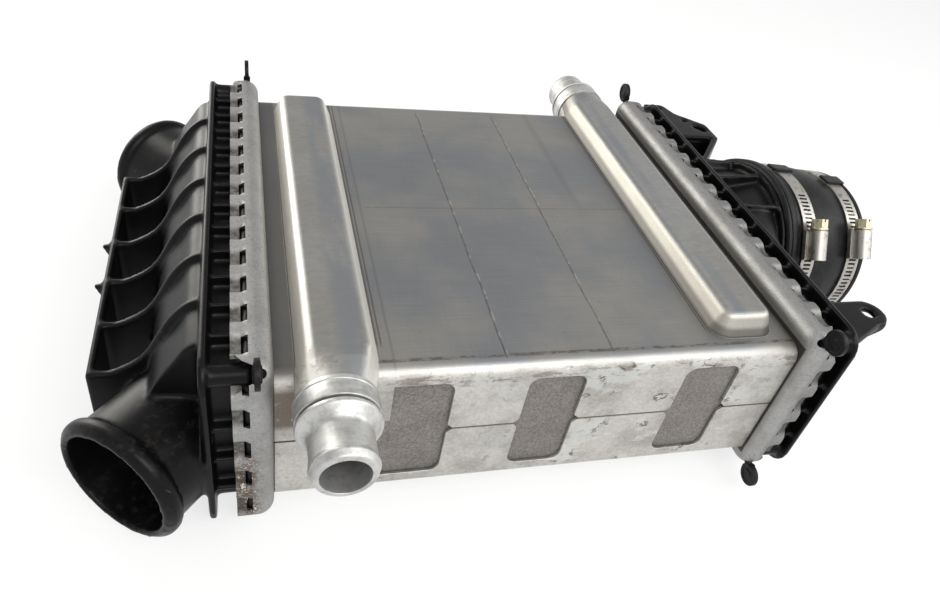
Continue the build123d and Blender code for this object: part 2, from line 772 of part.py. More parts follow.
def make_inlet_tank(tag_corners):
    """The inlet tank's base and plenum, less the free ends of its necks."""
    tank = mirrored(make_tank_base(tag_corners)) + make_inlet_body()
    hollow = make_plenum(tank_wall)
    gate = along_x(frame_outline(plenum_half_length - tank_wall, mouth_bottom, mouth_top,
                                 mouth_corner), rail_start - past, rail_end + overlap)
    gate = mirrored(gate)
    in_rail = mirrored(tank_mouth(rail_start - past, rail_end + overlap))
    for side in (-1, 1):
        bore = inlet_rod(side, inlet_bore, -past, inlet_neck_run + 2 * past)
        hollow += bore & beyond_inlet_rail()
        gate += bore & in_rail
        tank -= (inlet_rod(side, inlet_bore + inlet_wall, -past, inlet_neck_free + past)
                 & beyond_inlet_rail())
    return tank - hollow - gate - mirrored(tank_mouth(foot_start - past, rail_start))


def make_inlet_ribs():
    """The ribs over the inlet plenum with the spine wall and lugs that join them."""
    x_spine = -rail_end - spine_reach
    span = (rib_count - 1) * rib_pitch
    rib = extrude(Plane.XZ * rib_outline(), rib_thickness / 2, both=True)
    ribs = [Pos(0, k * rib_pitch - span / 2, 0) * rib for k in range(rib_count)]
    spine = block(x_spine, x_spine + spine_thickness, -span / 2, span / 2,
                  spine_bottom, spine_top)
    cage = spine + ribs
    cage = cage + [make_lug(-lug_pitch / 2), make_lug(lug_pitch / 2)]
    return cage - make_inlet_body()


# ---------------------------------------------------------------- outlet tank and hose
def outlet_plane(distance):
    """The plane across the outlet neck at a distance past the hose's end."""
    yaw = radians(outlet_yaw)
    dip = radians(outlet_dip)
    direction = (cos(yaw) * cos(dip), sin(yaw) * cos(dip), -sin(dip))
    start = Plane(origin=(rail_end + outlet_start, outlet_y, outlet_z),
                  x_dir=(-sin(yaw), cos(yaw), 0), z_dir=direction)
    return start.offset(distance)


def make_outlet_tank(tag_corners):
    """The outlet tank's base, from its foot to its rail."""
    return make_tank_base(tag_corners) - tank_mouth(foot_start - past, rail_end + past)


def behind_outlet_rail():
    """The space on the near side of the outlet rail's far face."""
    return block(rail_start, rail_end, -2 * half_width, 2 * half_width,
                 -2 * core_height, 2 * core_height)


def outlet_body_form():
    """The outlet tank's tapering body with its ribs, still solid."""
    collar_radius_out = outlet_neck_radius + collar_reach_out
    collar_plane = outlet_plane(-collar_thickness)
    wide = Plane.YZ.offset(rail_end) * frame_outline(
        neck_half_width, neck_bottom, neck_top, body_corner)
    body = loft([wide, collar_plane * Circle(outlet_neck_radius)])
    far_off = header_half_width + bracket_reach
    within = along_x(frame_outline(rail_half_width, rail_bottom, rail_top, rail_corner),
                     rail_end, rail_end + far_off)
    ribs = []
    for k in range(outlet_rib_count):
        strip = Pos(collar_radius_out - (collar_reach_out + outlet_rib_depth) / 2, 0) * Rectangle(
            collar_reach_out + outlet_rib_depth, outlet_rib_thickness)
        ribs.append(extrude(collar_plane * Rot(0, 0, 360 * k / outlet_rib_count) * strip,
                            -outlet_start - outlet_rib_depth) & within)
    return (body + ribs) - behind_outlet_rail()


def make_outlet_body():
    """The outlet tank's tapering body, hollow."""
    inner_wide = Plane.YZ.offset(rail_end) * frame_outline(
        mouth_half_width, mouth_bottom, mouth_top, body_corner - tank_wall)
    inner_round = outlet_plane(-collar_thickness) * Circle(outlet_neck_radius - outlet_wall)
    return outlet_body_form() - loft([inner_wide, inner_round])


def grown_from_outlet_body(shape):
    """A mounting bracket or ear, less the part of it that lies in the body."""
    return shape - outlet_body_form() - behind_outlet_rail()


def make_outlet_neck():
    """The round neck inside the hose, with the collar that the hose stops against."""
    place = outlet_plane(-collar_thickness)
    full = outlet_neck_length + collar_thickness
    neck = extrude(place * Circle(outlet_neck_radius), full)
    collar = extrude(place * Circle(outlet_neck_radius + collar_reach_out), collar_thickness)
    return neck + collar - extrude(place.offset(-past) * Circle(outlet_neck_radius - outlet_wall),
                                   full + 2 * past)


def make_bracket():
    """The rear mounting bracket: a plate with a skirt, a web, two small holes and a slot."""
    x0 = rail_end - overlap
    x1 = rail_end + bracket_reach
    y0, y1 = bracket_near_y, bracket_far_y
    outline = make_face(Polyline(
        (x0, y0), (x0 + bracket_root, y0), (x1, y0 + bracket_slope_run),
        (x1, y1 - bracket_nose_run), (x1 - bracket_nose_width, y1 - bracket_tip_drop),
        (x0 + bracket_tip_width, y1), (x0, y1), close=True))
    outline = fillet(outline.vertices().filter_by(lambda v: v.X > x0 + overlap), bracket_corner)
    base = Plane.XY.offset(bracket_height - bracket_skirt)
    top = Plane.XY.offset(bracket_height - bracket_plate)
    web_y = y0 + bracket_slope_run + bracket_wall
    ring = outline - offset(outline, amount=-bracket_wall)
    web = outline & (Pos((x0 + x1) / 2, web_y) * Rectangle(x1 - x0, bracket_wall))
    bracket = extrude(top * outline, bracket_plate) + [
        extrude(base * ring, bracket_skirt - overlap), extrude(base * web, bracket_skirt - overlap)]
    low = x0 + 2 * bracket_wall
    window = make_face(Polyline(
        (low, y0 + 2 * bracket_wall), (x0 + bracket_root, y0 + 2 * bracket_wall),
        (x1 - 2 * bracket_wall, y0 + bracket_slope_run),
        (low, y0 + bracket_slope_run), close=True))
    cut_depth = bracket_plate + 2 * past
    slot = Pos(x0 + bracket_slot_in, y1 - bracket_slot_back) * Rot(0, 0, bracket_slot_turn)
    slot = slot * SlotOverall(bracket_slot_length, 2 * bracket_slot_radius)
    tip_hole = Pos(x0 + bracket_tip_width * 0.6, y1 - 2 * bracket_hole_radius - bracket_wall)
    mid_hole = Pos(x0 + bracket_mid_in, y1 - bracket_mid_back)
    cuts = [extrude(top.offset(-past) * shape, cut_depth)
            for shape in (window, slot, tip_hole * Circle(bracket_hole_radius),
                          mid_hole * Circle(bracket_hole_radius))]
    return bracket - cuts


def make_ear():
    """The front mounting ear: a rounded plate with its gusset."""
    x0 = rail_end - overlap
    x_hole = rail_end + ear_reach
    x_tip = x_hole + ear_radius / 2
    top = Plane.XY.offset(ear_height - ear_plate)
    arm = make_face(Polyline((x0, ear_y + ear_radius), (x_hole, ear_y + ear_radius),
                             (x_hole, ear_y - ear_radius), (x0, ear_y - ear_root_front),
                             close=True))
    outline = arm + Pos(x_hole, ear_y) * Circle(ear_radius)
    plate = extrude(top * outline, ear_plate)
    high = ear_height - overlap
    gusset = make_face(Polyline((x0, high), (x_tip, high), (x_tip, ear_height - ear_plate - past),
                                (x0, ear_height - ear_skirt), close=True))
    wall = extrude(Plane.XZ.offset(-ear_y + ear_radius - bracket_wall) * gusset, bracket_wall)
    return (plate + wall) - rod((x_hole, ear_y, ear_height + past), (0, 0, -1),
                                ear_plate + 2 * past, ear_hole_radius)


def make_hose():
    """The rubber coupling hose: lip, clamp seats and a soft swelling between them."""
    near = hose_near_radius
    far = hose_far_radius
    inner = outlet_neck_radius + hose_fit
    far_inner = far - hose_wall
    rim = hose_lip_radius - hose_lip_edge
    seat_b = near_clamp_position + band_width + clamp_seat_margin
    seat_c = far_clamp_position - clamp_seat_margin
    seat_d = far_clamp_position + band_width + clamp_seat_margin
    step_start = outlet_neck_length + hose_step_start
    points = [(far, seat_d), (far + hose_bead, seat_d + hose_bead),
              (far + hose_bead, hose_length), (far_inner, hose_length),
              (far_inner, step_start + hose_step_length), (inner, step_start), (inner, 0),
              (rim, 0), (hose_lip_radius, hose_lip_edge),
              (hose_lip_radius, hose_lip_length - hose_lip_edge),
              (near, hose_lip_length + hose_lip_edge), (near, seat_b)]
    swell = ThreePointArc((near, seat_b), ((near + far) / 2 + hose_bulge, (seat_b + seat_c) / 2),
                          (far, seat_c))
    outline = [swell, Line((far, seat_c), points[0])]
    outline += [Line(a, b) for a, b in zip(points[:-1], points[1:])]
    profile = Plane.XZ * make_face(outline)
    return outlet_plane(0).location * revolve(profile, Axis.Z)


def clamp_frame(position, angle):
    """A placement on the hose's centre line, its X pointing at the screw housing."""
    return outlet_plane(position).location * Rot(0, 0, angle)


def make_clamp(position, angle, seat_radius):
    """One worm-drive clamp: band, screw housing, and screw, in that order.

    The screw's head lies on the side of the housing nearer to the top of the hose.
    """
    place = clamp_frame(position, angle)
    inner = seat_radius + clamp_fit
    outer = inner + band_thickness
    band = extrude(Circle(outer) - Circle(inner), band_width)
    mid = band_width / 2
    foot = outer + housing_gap
    shell = screw_radius + housing_wall
    barrel_x = foot + shell
    half = housing_length / 2
    saddle = block(foot, foot + 2 * housing_wall, -half, half,
                   mid - housing_width / 2, mid + housing_width / 2)
    barrel = rod((barrel_x, half, mid), (0, -1, 0), housing_length, shell)
    cheek = block(foot, barrel_x, -half, half, mid - shell, mid + shell)
    hollow = rod((barrel_x, half + past, mid), (0, -1, 0), housing_length + 2 * past,
                 screw_radius + housing_gap)
    housing = (saddle + [barrel, cheek]) - hollow
    screw_end = -half - screw_overhang
    tip = half - screw_tip_setback
    screw = rod((barrel_x, tip, mid), (0, -1, 0), tip - screw_end, screw_radius)
    screw += rod((barrel_x, -half - screw_collar_gap, mid), (0, -1, 0),
                 screw_collar_length, shell)
    head = Plane(origin=(barrel_x, screw_end, mid), z_dir=(0, 1, 0))
    screw += extrude(head * RegularPolygon(screw_head_radius, 6), screw_head_length)
    screw -= block(barrel_x - shell, barrel_x + shell, screw_end - past,
                   screw_end + driver_slot_depth, mid - driver_slot_width / 2,
                   mid + driver_slot_width / 2)
    return place * band, place * housing, place * screw


def make_keeper(position, angle, seat_radius):
    """A rubber strap across a clamp's band that keeps it in its place on the hose."""
    place = clamp_frame(position, angle)
    inner = seat_radius + clamp_fit + band_thickness + clamp_fit
    mid = band_width / 2
    return place * block(inner, inner + keeper_thickness, -keeper_width / 2, keeper_width / 2,
                         mid - keeper_length / 2, mid + keeper_length / 2)


# ---------------------------------------------------------------- coolant fittings
def make_socket():
    """The socket ring brazed on the jacket's front collar."""
    start = -half_width - collar_reach
    ring = spigot_axis_rod(start, start - socket_length, socket_radius)
    return ring - spigot_axis_rod(start + past, start - socket_length - past, socket_bore)


def make_spigot():
    """The turned coolant spigot: spud, flange, concave shoulder, neck and beaded nose."""
    start = -half_width - collar_reach - socket_length - spigot_groove
    spud = socket_bore - spud_clearance
    y1 = flange_thickness
    y2 = y1 + shoulder_length
    y3 = y2 + neck_length
    y4 = y3 + bead_length
    y5 = y4 + nose_length
    bead_slope = (bead_length - bead_land) / 2
    edge = flange_edge
    nose_radius = neck_radius - nose_drop
    shoulder_mid = (neck_radius + shoulder_sag, y1 + shoulder_length * shoulder_low)
    profile = [
        Line((bore_radius, -spud_length), (spud, -spud_length)),
        Line((spud, -spud_length), (spud, 0)),
        Line((spud, 0), (flange_radius - edge, 0)),
        Line((flange_radius - edge, 0), (flange_radius, edge)),
        Line((flange_radius, edge), (flange_radius, y1)),
        ThreePointArc((flange_radius, y1), shoulder_mid, (neck_radius, y2)),
        Line((neck_radius, y2), (neck_radius, y3)),
        Line((neck_radius, y3), (bead_radius, y3 + bead_slope)),
        Line((bead_radius, y3 + bead_slope), (bead_radius, y4 - bead_slope)),
        Line((bead_radius, y4 - bead_slope), (neck_radius, y4)),
        ThreePointArc((neck_radius, y4), (neck_radius - nose_round, y5 - nose_round),
                      (nose_radius, y5)),
        Line((nose_radius, y5), (bore_radius, y5)),
        Line((bore_radius, y5), (bore_radius, -spud_length)),
    ]
    body = revolve(Plane.XZ * make_face(profile), Axis.Z)
    place = Plane(origin=(-spigot_offset, start, spigot_height), z_dir=(0, -1, 0))
    return place.location * body


# ---------------------------------------------------------------- build and write
inlet_tags = ((-1, True), (1, True))
outlet_tags = ((-1, True), (1, True), (-1, False))

upper_shell, lower_shell = make_jacket()
save("upper_jacket_shell", upper_shell)
save("lower_jacket_shell", lower_shell)

side_plate = make_side_plate()
save("front_side_plate", side_plate)
save("rear_side_plate", half_turn(side_plate))

for number, row in enumerate(tube_rows, start=1):
    save(f"air_tube_{number:02d}", make_tube(row))
    save(f"air_fin_{number:02d}", make_fin(row))

for label, turn, tags in (("outlet", lambda shape: shape, outlet_tags),
                          ("inlet", mirrored, inlet_tags)):
    tube_plate, rim = make_header(tags)
    save(f"{label}_header_plate", turn(tube_plate))
    save(f"{label}_header_rim", turn(rim))
save("outlet_gasket", make_gasket(outlet_tags))
save("inlet_gasket", mirrored(make_gasket(inlet_tags)))

save("inlet_tank", make_inlet_tank(inlet_tags))
save("inlet_ribs", make_inlet_ribs())
save("front_inlet_neck", make_inlet_neck(-1))
save("rear_inlet_neck", make_inlet_neck(1))
save("outlet_tank", make_outlet_tank(outlet_tags))
save("outlet_body", make_outlet_body())
save("outlet_bracket", grown_from_outlet_body(make_bracket()))
save("outlet_ear", grown_from_outlet_body(make_ear()))
save("outlet_neck", make_outlet_neck())

socket = make_socket()
spigot = make_spigot()
save("front_coolant_socket", socket)
save("rear_coolant_socket", half_turn(socket))
save("front_coolant_spigot", spigot)
save("rear_coolant_spigot", half_turn(spigot))

save("coupling_hose", make_hose())
clamps = (
    ("near", near_clamp_position, near_clamp_angle, near_keeper_angle, hose_near_radius),
    ("far", far_clamp_position, far_clamp_angle, far_keeper_angle, hose_far_radius),
)
for label, position, angle, keeper_angle, seat in clamps:
    band, housing, screw = make_clamp(position, angle, seat)
    save(f"{label}_clamp_band", band)
    save(f"{label}_clamp_housing", housing)
    save(f"{label}_clamp_screw", screw)
    save(f"{label}_clamp_keeper", make_keeper(position, keeper_angle, seat))
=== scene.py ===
"""Looks of a liquid-cooled charge-air intercooler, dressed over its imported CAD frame.

Lengths in the classes are millimetres in the part's own frame, but for those of Studio, which
are metres. The origin is the centre of the jacket's flat underside, +X runs from the inlet tank
to the outlet tank, the front coolant spigot points along -Y and +Z is up.
"""

import logging
import math
from collections.abc import Callable, Iterator
from contextlib import contextmanager
from dataclasses import dataclass
from enum import Enum
from functools import reduce

import bmesh
import bpy
import numpy as np
from mathutils import Matrix, Vector


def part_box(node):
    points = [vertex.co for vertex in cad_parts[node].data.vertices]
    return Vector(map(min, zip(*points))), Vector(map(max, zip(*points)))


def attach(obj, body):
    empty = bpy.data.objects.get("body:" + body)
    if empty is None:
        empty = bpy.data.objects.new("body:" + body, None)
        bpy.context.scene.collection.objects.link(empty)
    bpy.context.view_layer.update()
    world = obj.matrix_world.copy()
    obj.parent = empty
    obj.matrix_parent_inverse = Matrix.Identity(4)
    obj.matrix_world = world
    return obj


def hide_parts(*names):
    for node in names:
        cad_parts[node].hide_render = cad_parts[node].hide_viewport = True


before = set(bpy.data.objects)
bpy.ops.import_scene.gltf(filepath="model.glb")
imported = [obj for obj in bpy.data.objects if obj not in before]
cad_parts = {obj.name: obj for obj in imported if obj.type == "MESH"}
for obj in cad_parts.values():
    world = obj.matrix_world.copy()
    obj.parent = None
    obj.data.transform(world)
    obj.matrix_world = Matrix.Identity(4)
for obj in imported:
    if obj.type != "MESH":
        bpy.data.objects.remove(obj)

MM = 0.001
BODY = "root"
SWELL = 0.06 * MM
log = logging.getLogger("intercooler")

Colour = tuple[float, float, float]
Triple = tuple[float, float, float]
Pair = tuple[float, float]
Socket = bpy.types.NodeSocket
Material = bpy.types.Material
Object = bpy.types.Object


class Slot(Enum):
    """The record's material slots."""

    JACKET = "jacket_sheet"
    SIDE = "side_sheet"
    HEADER = "header_sheet"
    CORE = "core_sheet"
    FITTING = "fitting_alloy"
    TANK = "tank_plastic"
    GASKET = "gasket_rubber"
    HOSE = "hose_rubber"
    CLAMP = "clamp_steel"
    SCREW = "screw_steel"


class End(Enum):
    """The two ends of the core, as the sign of X."""

    INLET = -1
    OUTLET = 1


# ------ node trees
def operator(operation: str, swapped: bool = False) -> Callable[..., "Value"]:
    """A method of Value that adds a Math node.

    Args:
        operation: Blender's name of the operation.
        swapped: whether the value itself comes second.

    Returns:
        The method.
    """
    def act(value: "Value", *others: object) -> "Value":
        """Add the node to the value's own tree."""
        return value.work.sum(operation, *((*others, value) if swapped else (value, *others)))
    return act


class Value:
    """A number in a node tree; arithmetic on it adds Math nodes to that tree."""

    __add__ = __radd__ = operator("ADD")
    __mul__ = __rmul__ = operator("MULTIPLY")
    __sub__ = operator("SUBTRACT")
    __rsub__ = operator("SUBTRACT", swapped=True)
    __truediv__ = operator("DIVIDE")
    __gt__ = operator("GREATER_THAN")
    __lt__ = operator("LESS_THAN")
    __abs__ = operator("ABSOLUTE")

    def __init__(self, work: "NodeWork", socket: Socket) -> None:
        """Hold a socket.

        Args:
            work: the tree that the socket belongs to.
            socket: the output that gives the number.
        """
        self.work = work
        self.socket = socket


class NodeWork:
    """A node tree with short calls that add nodes and link what feeds them."""

    def __init__(self, tree: bpy.types.NodeTree) -> None:
        """Start on a tree.

        Args:
            tree: the shader or geometry tree to fill.
        """
        self.tree = tree

    def add(self, kind: str, feeds: dict | None = None, **settings: object) -> bpy.types.Node:
        """Add one node.

        Args:
            kind: Blender's name of the node type.
            feeds: values or output sockets for inputs, by name or place.
            settings: properties of the node itself.

        Returns:
            The new node.
        """
        made = self.tree.nodes.new(kind)
        for name, value in settings.items():
            setattr(made, name, value)
        for key, value in (feeds or {}).items():
            self.feed(made.inputs[key], value)
        return made

    def feed(self, socket: Socket, value: object) -> None:
        """Link a socket to an output, or set its own value.

        Args:
            socket: the input.
            value: an output or a constant.
        """
        if isinstance(value, Value):
            value = value.socket
        if isinstance(value, Socket):
            self.tree.links.new(value, socket)
        else:
            socket.default_value = value

    def sum(self, operation: str, *values: object, clamp: bool = False) -> Value:
        """One operation of a Math node.

        Args:
            operation: Blender's name of the operation.
            values: what it works on.
            clamp: whether the result is kept between 0 and 1.

        Returns:
            The result.
        """
        made = self.add("ShaderNodeMath", dict(enumerate(values)), operation=operation,
                        use_clamp=clamp)
        return Value(self, made.outputs[0])

    def most(self, *values: object) -> Value:
        """The greatest of some values."""
        return reduce(lambda a, b: self.sum("MAXIMUM", a, b), values)

    def least(self, *values: object) -> Value:
        """The least of some values."""
        return reduce(lambda a, b: self.sum("MINIMUM", a, b), values)

    def vector(self, operation: str, *values: object) -> Socket:
        """One operation of a Vector Math node that gives a vector."""
        made = self.add("ShaderNodeVectorMath", dict(enumerate(values)), operation=operation)
        return made.outputs["Vector"]

    def parts(self, value: Socket) -> list[Value]:
        """The X, Y and Z of a vector."""
        outputs = self.add("ShaderNodeSeparateXYZ", {0: value}).outputs
        return [Value(self, output) for output in outputs]

    def joined(self, x: object, y: object, z: object) -> Socket:
        """A vector of three scalars."""
        return self.add("ShaderNodeCombineXYZ", {0: x, 1: y, 2: z}).outputs[0]

    def rise(self, value: object, low: object, high: object) -> Value:
        """A smooth step: 0 below low and 1 above high; swap them for a fall.

        Args:
            value: what is measured.
            low: where the step starts.
            high: where it ends.

        Returns:
            The step, 0 to 1.
        """
        made = self.add("ShaderNodeMapRange", {0: value, 1: low, 2: high, 3: 0.0, 4: 1.0},
                        interpolation_type="SMOOTHSTEP")
        return Value(self, made.outputs[0])

    def near(self, value: Value, place: float, width: float, soft: float) -> Value:
        """1 where a value lies within half a width of a place, with soft sides."""
        return self.rise(abs(value - place), width / 2 + soft, width / 2)


class Shading(NodeWork):
    """A material's tree, with patterns laid out in millimetres on Object coordinates."""

    def __init__(self, name: str) -> None:
        """Make a material with one Principled shader.

        Args:
            name: the material's name.
        """
        self.material = bpy.data.materials.new(name)
        self.material.use_nodes = True
        super().__init__(self.material.node_tree)
        self.tree.nodes.clear()
        self.shader = self.add("ShaderNodeBsdfPrincipled")
        out = self.add("ShaderNodeOutputMaterial")
        self.tree.links.new(self.shader.outputs[0], out.inputs[0])
        coords = self.add("ShaderNodeTexCoord").outputs["Object"]
        self.place = self.vector("MULTIPLY", coords, (1 / MM,) * 3)
        self.x, self.y, self.z = self.parts(self.place)
        self.colour: object = (0.0, 0.0, 0.0)
        self.relief: Socket | None = None

    def upward(self) -> Value:
        """How far the surface faces up: the Z of its own direction."""
        return self.parts(self.add("ShaderNodeNewGeometry").outputs["Normal"])[2]

    def noise(self, size: float, detail: float = 3.0, rough: float = 0.55,
              stretch: Triple = (1.0, 1.0, 1.0), seed: float = 0.0) -> Value:
        """Soft noise of a feature size.

        Args:
            size: width of a feature.
            detail: octaves.
            rough: weight of the finer octaves.
            stretch: how many times longer a feature is along X, Y and Z.
            seed: shift of the pattern.

        Returns:
            A value round 0.5.
        """
        scaled = self.vector("MULTIPLY", self.place, tuple(1 / (size * s) for s in stretch))
        moved = self.vector("ADD", scaled, (seed, seed * 0.7, seed * 1.3))
        made = self.add("ShaderNodeTexNoise", {"Vector": moved, "Scale": 1.0, "Detail": detail,
                                               "Roughness": rough})
        return Value(self, made.outputs[0])

    def cells(self, size: float, seed: float = 0.0) -> Value:
        """Distance to the nearest of scattered points, in feature widths.

        Args:
            size: width of a feature.
            seed: shift of the pattern.

        Returns:
            The distance.
        """
        scaled = self.vector("MULTIPLY", self.place, (1 / size,) * 3)
        moved = self.vector("ADD", scaled, (seed, seed, seed))
        made = self.add("ShaderNodeTexVoronoi", {"Vector": moved, "Scale": 1.0})
        return Value(self, made.outputs["Distance"])

    def blend(self, factor: object, low: object, high: object) -> Socket:
        """Mix two colours.

        Args:
            factor: share of the second colour.
            low: the first colour.
            high: the second colour.

        Returns:
            The mixed colour.
        """
        made = self.add("ShaderNodeMix", data_type="RGBA")
        self.feed(made.inputs[0], factor)
        for socket, value in ((made.inputs[6], low), (made.inputs[7], high)):
            self.feed(socket, value if isinstance(value, Socket) else (*value, 1.0))
        return made.outputs[2]

    def lay(self, mask: object, colour: object) -> None:
        """Lay a colour over the shader's colour where a mask is 1."""
        self.colour = self.blend(mask, self.colour, colour)

    def scaled(self, colour: Socket, amount: object) -> Socket:
        """Scale a colour by a value.

        Args:
            colour: the colour.
            amount: what it is multiplied by.

        Returns:
            The scaled colour.
        """
        made = self.add("ShaderNodeVectorMath", {0: colour}, operation="SCALE")
        self.feed(made.inputs["Scale"], amount)
        return made.outputs["Vector"]

    def tint(self, amount: object) -> None:
        """Scale the shader's colour by a value."""
        self.colour = self.scaled(self.colour, amount)

    def bump(self, height: object, depth: float) -> None:
        """Lay a bump of a real depth over those before it.

        Args:
            height: the pattern, 0 to 1.
            depth: millimetres between its lowest and highest point.
        """
        made = self.add("ShaderNodeBump", {"Height": height, "Distance": depth * MM,
                                           "Strength": 1.0})
        if self.relief is not None:
            self.feed(made.inputs["Normal"], self.relief)
        self.relief = made.outputs[0]

    def finish(self, roughness: object, **constants: float) -> Material:
        """Feed the shader its colour, relief and the rest.

        Args:
            roughness: roughness.
            constants: values set on the shader's own sockets, by name with spaces as
                underscores.

        Returns:
            The material.
        """
        feeds = {"Base Color": self.colour, "Roughness": roughness, "Normal": self.relief}
        feeds.update((name.replace("_", " "), value) for name, value in constants.items())
        for name, value in feeds.items():
            self.feed(self.shader.inputs[name], value)
        return self.material


# ------ finishes
@dataclass(frozen=True)
class RolledSheet:
    """Mill-finish aluminium of the jacket: rolled grain, oxide clouds, braze lines, stains, and
    painted light: lit walls, highlights on channel flanks and by braze lines, shade at channel
    feet.
    """

    name: str = "rolled_sheet"
    # face and warm colour the upward faces; side and side_cloud_painted_light the walls: painted
    # shade on the top and painted light on the walls.
    face: Colour = (0.262, 0.272, 0.285)
    warm: Colour = (0.335, 0.325, 0.305)
    side: Colour = (0.560, 0.545, 0.515)
    side_cloud_painted_light: Colour = (0.420, 0.405, 0.380)
    # stain colours the real stains and also the painted shade along the channels' feet.
    stain: Colour = (0.130, 0.100, 0.075)
    # pale is a painted highlight colour, laid as glints beside the braze lines.
    pale: Colour = (0.520, 0.500, 0.450)
    crown: Colour = (0.440, 0.430, 0.405)
    left_flank_painted_highlight: Colour = (0.760, 0.740, 0.690)
    right_flank_painted_light: Colour = (0.420, 0.405, 0.365)
    # groove is painted shade, laid at the channel feet and beside the inlet header.
    groove: Colour = (0.115, 0.110, 0.105)
    flake: Colour = (0.640, 0.655, 0.650)
    smut: Colour = (0.105, 0.082, 0.062)
    blue_haze: Colour = (0.255, 0.275, 0.300)
    seam_height: float = 31.35
    sheet_top: float = 62.6
    channel_middle: float = 81.6
    metallic: float = 0.92
    roughness: float = 0.36
    grain: float = 0.35
    grain_depth: float = 0.010
    braze_lines: tuple[float, ...] = (-21.3, 21.3)
    line_width: float = 0.55
    crease: float = -62.3
    channel_foot: float = 67.4
    streak: float = 42.0
    front_fold: float = -93.6
    side_fold: float = 57.0
    worn_corner: Pair = (-97.0, 48.0)

    def build(self) -> Material:
        """Make the material.

        Returns:
            The material.
        """
        s = Shading(self.name)
        nz = s.upward()
        top = s.rise(nz, 0.55, 0.95)
        clouds = s.noise(55.0, 3.0, 0.6)
        fine = s.noise(self.grain, 2.0, 0.5, (60.0, 1.0, 1.0))
        cross = s.noise(self.grain, 2.0, 0.5, (1.0, 45.0, 45.0), 3.0)
        speck = s.noise(1.1, 4.0, 0.7, seed=5.0)
        flat = s.blend(s.rise(clouds, 0.36, 0.66), self.face, self.warm)
        flat = s.scaled(flat, (fine * 0.3 + 0.85) * (cross * 0.16 + 0.92))
        # Painted light: the walls get a much lighter colour than the upward faces, for how the
        # light falls on them.
        side_clouds = s.rise(s.noise(24.0, 4.0, 0.6, seed=9.0), 0.4, 0.62)
        walls_painted_light = s.blend(side_clouds, self.side, self.side_cloud_painted_light)
        walls_painted_light = s.scaled(walls_painted_light, speck * 0.75 + 0.6)
        s.colour = s.blend(top, walls_painted_light, flat)
        raised = s.rise(s.z, self.sheet_top + 0.04, self.sheet_top + 0.12)
        crown = raised * top
        warm_crown = crown * (clouds * 0.5 + 0.35)
        brushed = s.noise(2.2, 5.0, 0.7, (2.5, 1.0, 1.0), 81.0)
        worn = s.blend(s.rise(clouds, 0.4, 0.62), self.crown, self.warm)
        worn = s.scaled(worn, brushed * 0.75 + 0.62)
        s.lay(warm_crown, worn)
        haze = crown * s.near(s.x + self.channel_middle, 4.5, 4.0, 5.0)
        haze = s.most(haze, crown * s.near(s.x - self.channel_middle, -3.5, 2.0, 3.0))
        haze *= s.rise(s.noise(30.0, 3.0, 0.6, (0.5, 2.0, 1.0), 71.0), 0.35, 0.55)
        s.lay(haze * 0.7, self.blue_haze)
        # Painted highlight: the left channel's flanks get a bright cream colour for the
        # reflection of the light from the left; the right channel's a dimmer painted light.
        flank = raised * (1.0 - top)
        rightward = s.rise(s.x, -20.0, 20.0)
        flank_painted_light = s.blend(rightward, self.left_flank_painted_highlight, self.right_flank_painted_light)
        flank_painted_light = s.scaled(flank_painted_light, speck * 0.3 + 0.85)
        s.lay(flank * 0.9, flank_painted_light)
        # Painted shade: the right channel's flanks darkened towards their foot.
        foot_painted_shade = flank * s.rise(s.z, 67.4, 65.2) * rightward
        s.lay(foot_painted_shade * 0.75, self.groove)
        # Painted shadow: a dark band on the top sheet between the left channel and the inlet
        # header.
        strip = s.rise(s.x, -94.0, -96.5) * s.rise(nz, 0.5, 0.8)
        s.lay(strip * 0.75, self.groove)
        lines, glints = 0.0, 0.0
        for place in self.braze_lines:
            wobble = s.noise(30.0, 1.0, seed=place) * 1.4 + (place - 0.7)
            beside = s.x - wobble
            thin = s.rise(abs(beside), self.line_width, self.line_width * 0.3)
            lines = s.most(lines, thin)
            glints = s.most(glints, s.near(beside, self.line_width, 0.5, 0.3))
        centre = s.rise(abs(s.y), self.line_width * 0.7, self.line_width * 0.2)
        centre *= s.near(s.x, 2.0, 122.0, 3.0)
        crease = s.near(s.x, self.crease, 0.5, 0.5)
        streak = s.near(s.x, self.streak, 1.4, 2.0) * s.rise(s.y, -10.0, 20.0)
        crease = s.most(crease, streak * 0.6)
        along = s.near(s.y, -2.0, 182.0, 3.0)
        broken = s.rise(s.noise(2.6, 4.0, 0.75, seed=2.0), 0.40, 0.58)
        under = top * s.rise(s.z, 64.5, 63.5)
        mark = s.most(lines * along, centre * 0.7) * under
        s.lay(mark * (broken * 0.35 + 0.4), self.stain)
        # Painted highlight: pale glints just beside each braze line.
        glints = glints * along * under * s.rise(s.noise(7.0, 3.0, 0.6, seed=14.0), 0.5, 0.6)
        s.lay(glints * 0.6, self.pale)
        s.lay(crease * top * 0.25, self.stain)
        across = abs(s.x)
        fold_line = s.near(s.y, self.front_fold, 0.8, 0.7) * under
        crumbs = s.rise(s.noise(2.0, 4.0, 0.7, (2.5, 1.0, 1.0), 91.0), 0.46, 0.58)
        fold_line *= crumbs * 0.6 + 0.15
        s.lay(fold_line, self.stain)
        # Painted shade: dark lines in the stain colour along the channels' feet.
        foot = s.near(across, self.channel_foot, 0.7, 0.5)
        foot = s.most(foot, s.near(across, self.channel_foot - 1.7, 0.3, 0.3))
        foot = foot * under * s.rise(s.y, -88.0, -84.0)
        s.lay(foot * 0.7, self.stain)
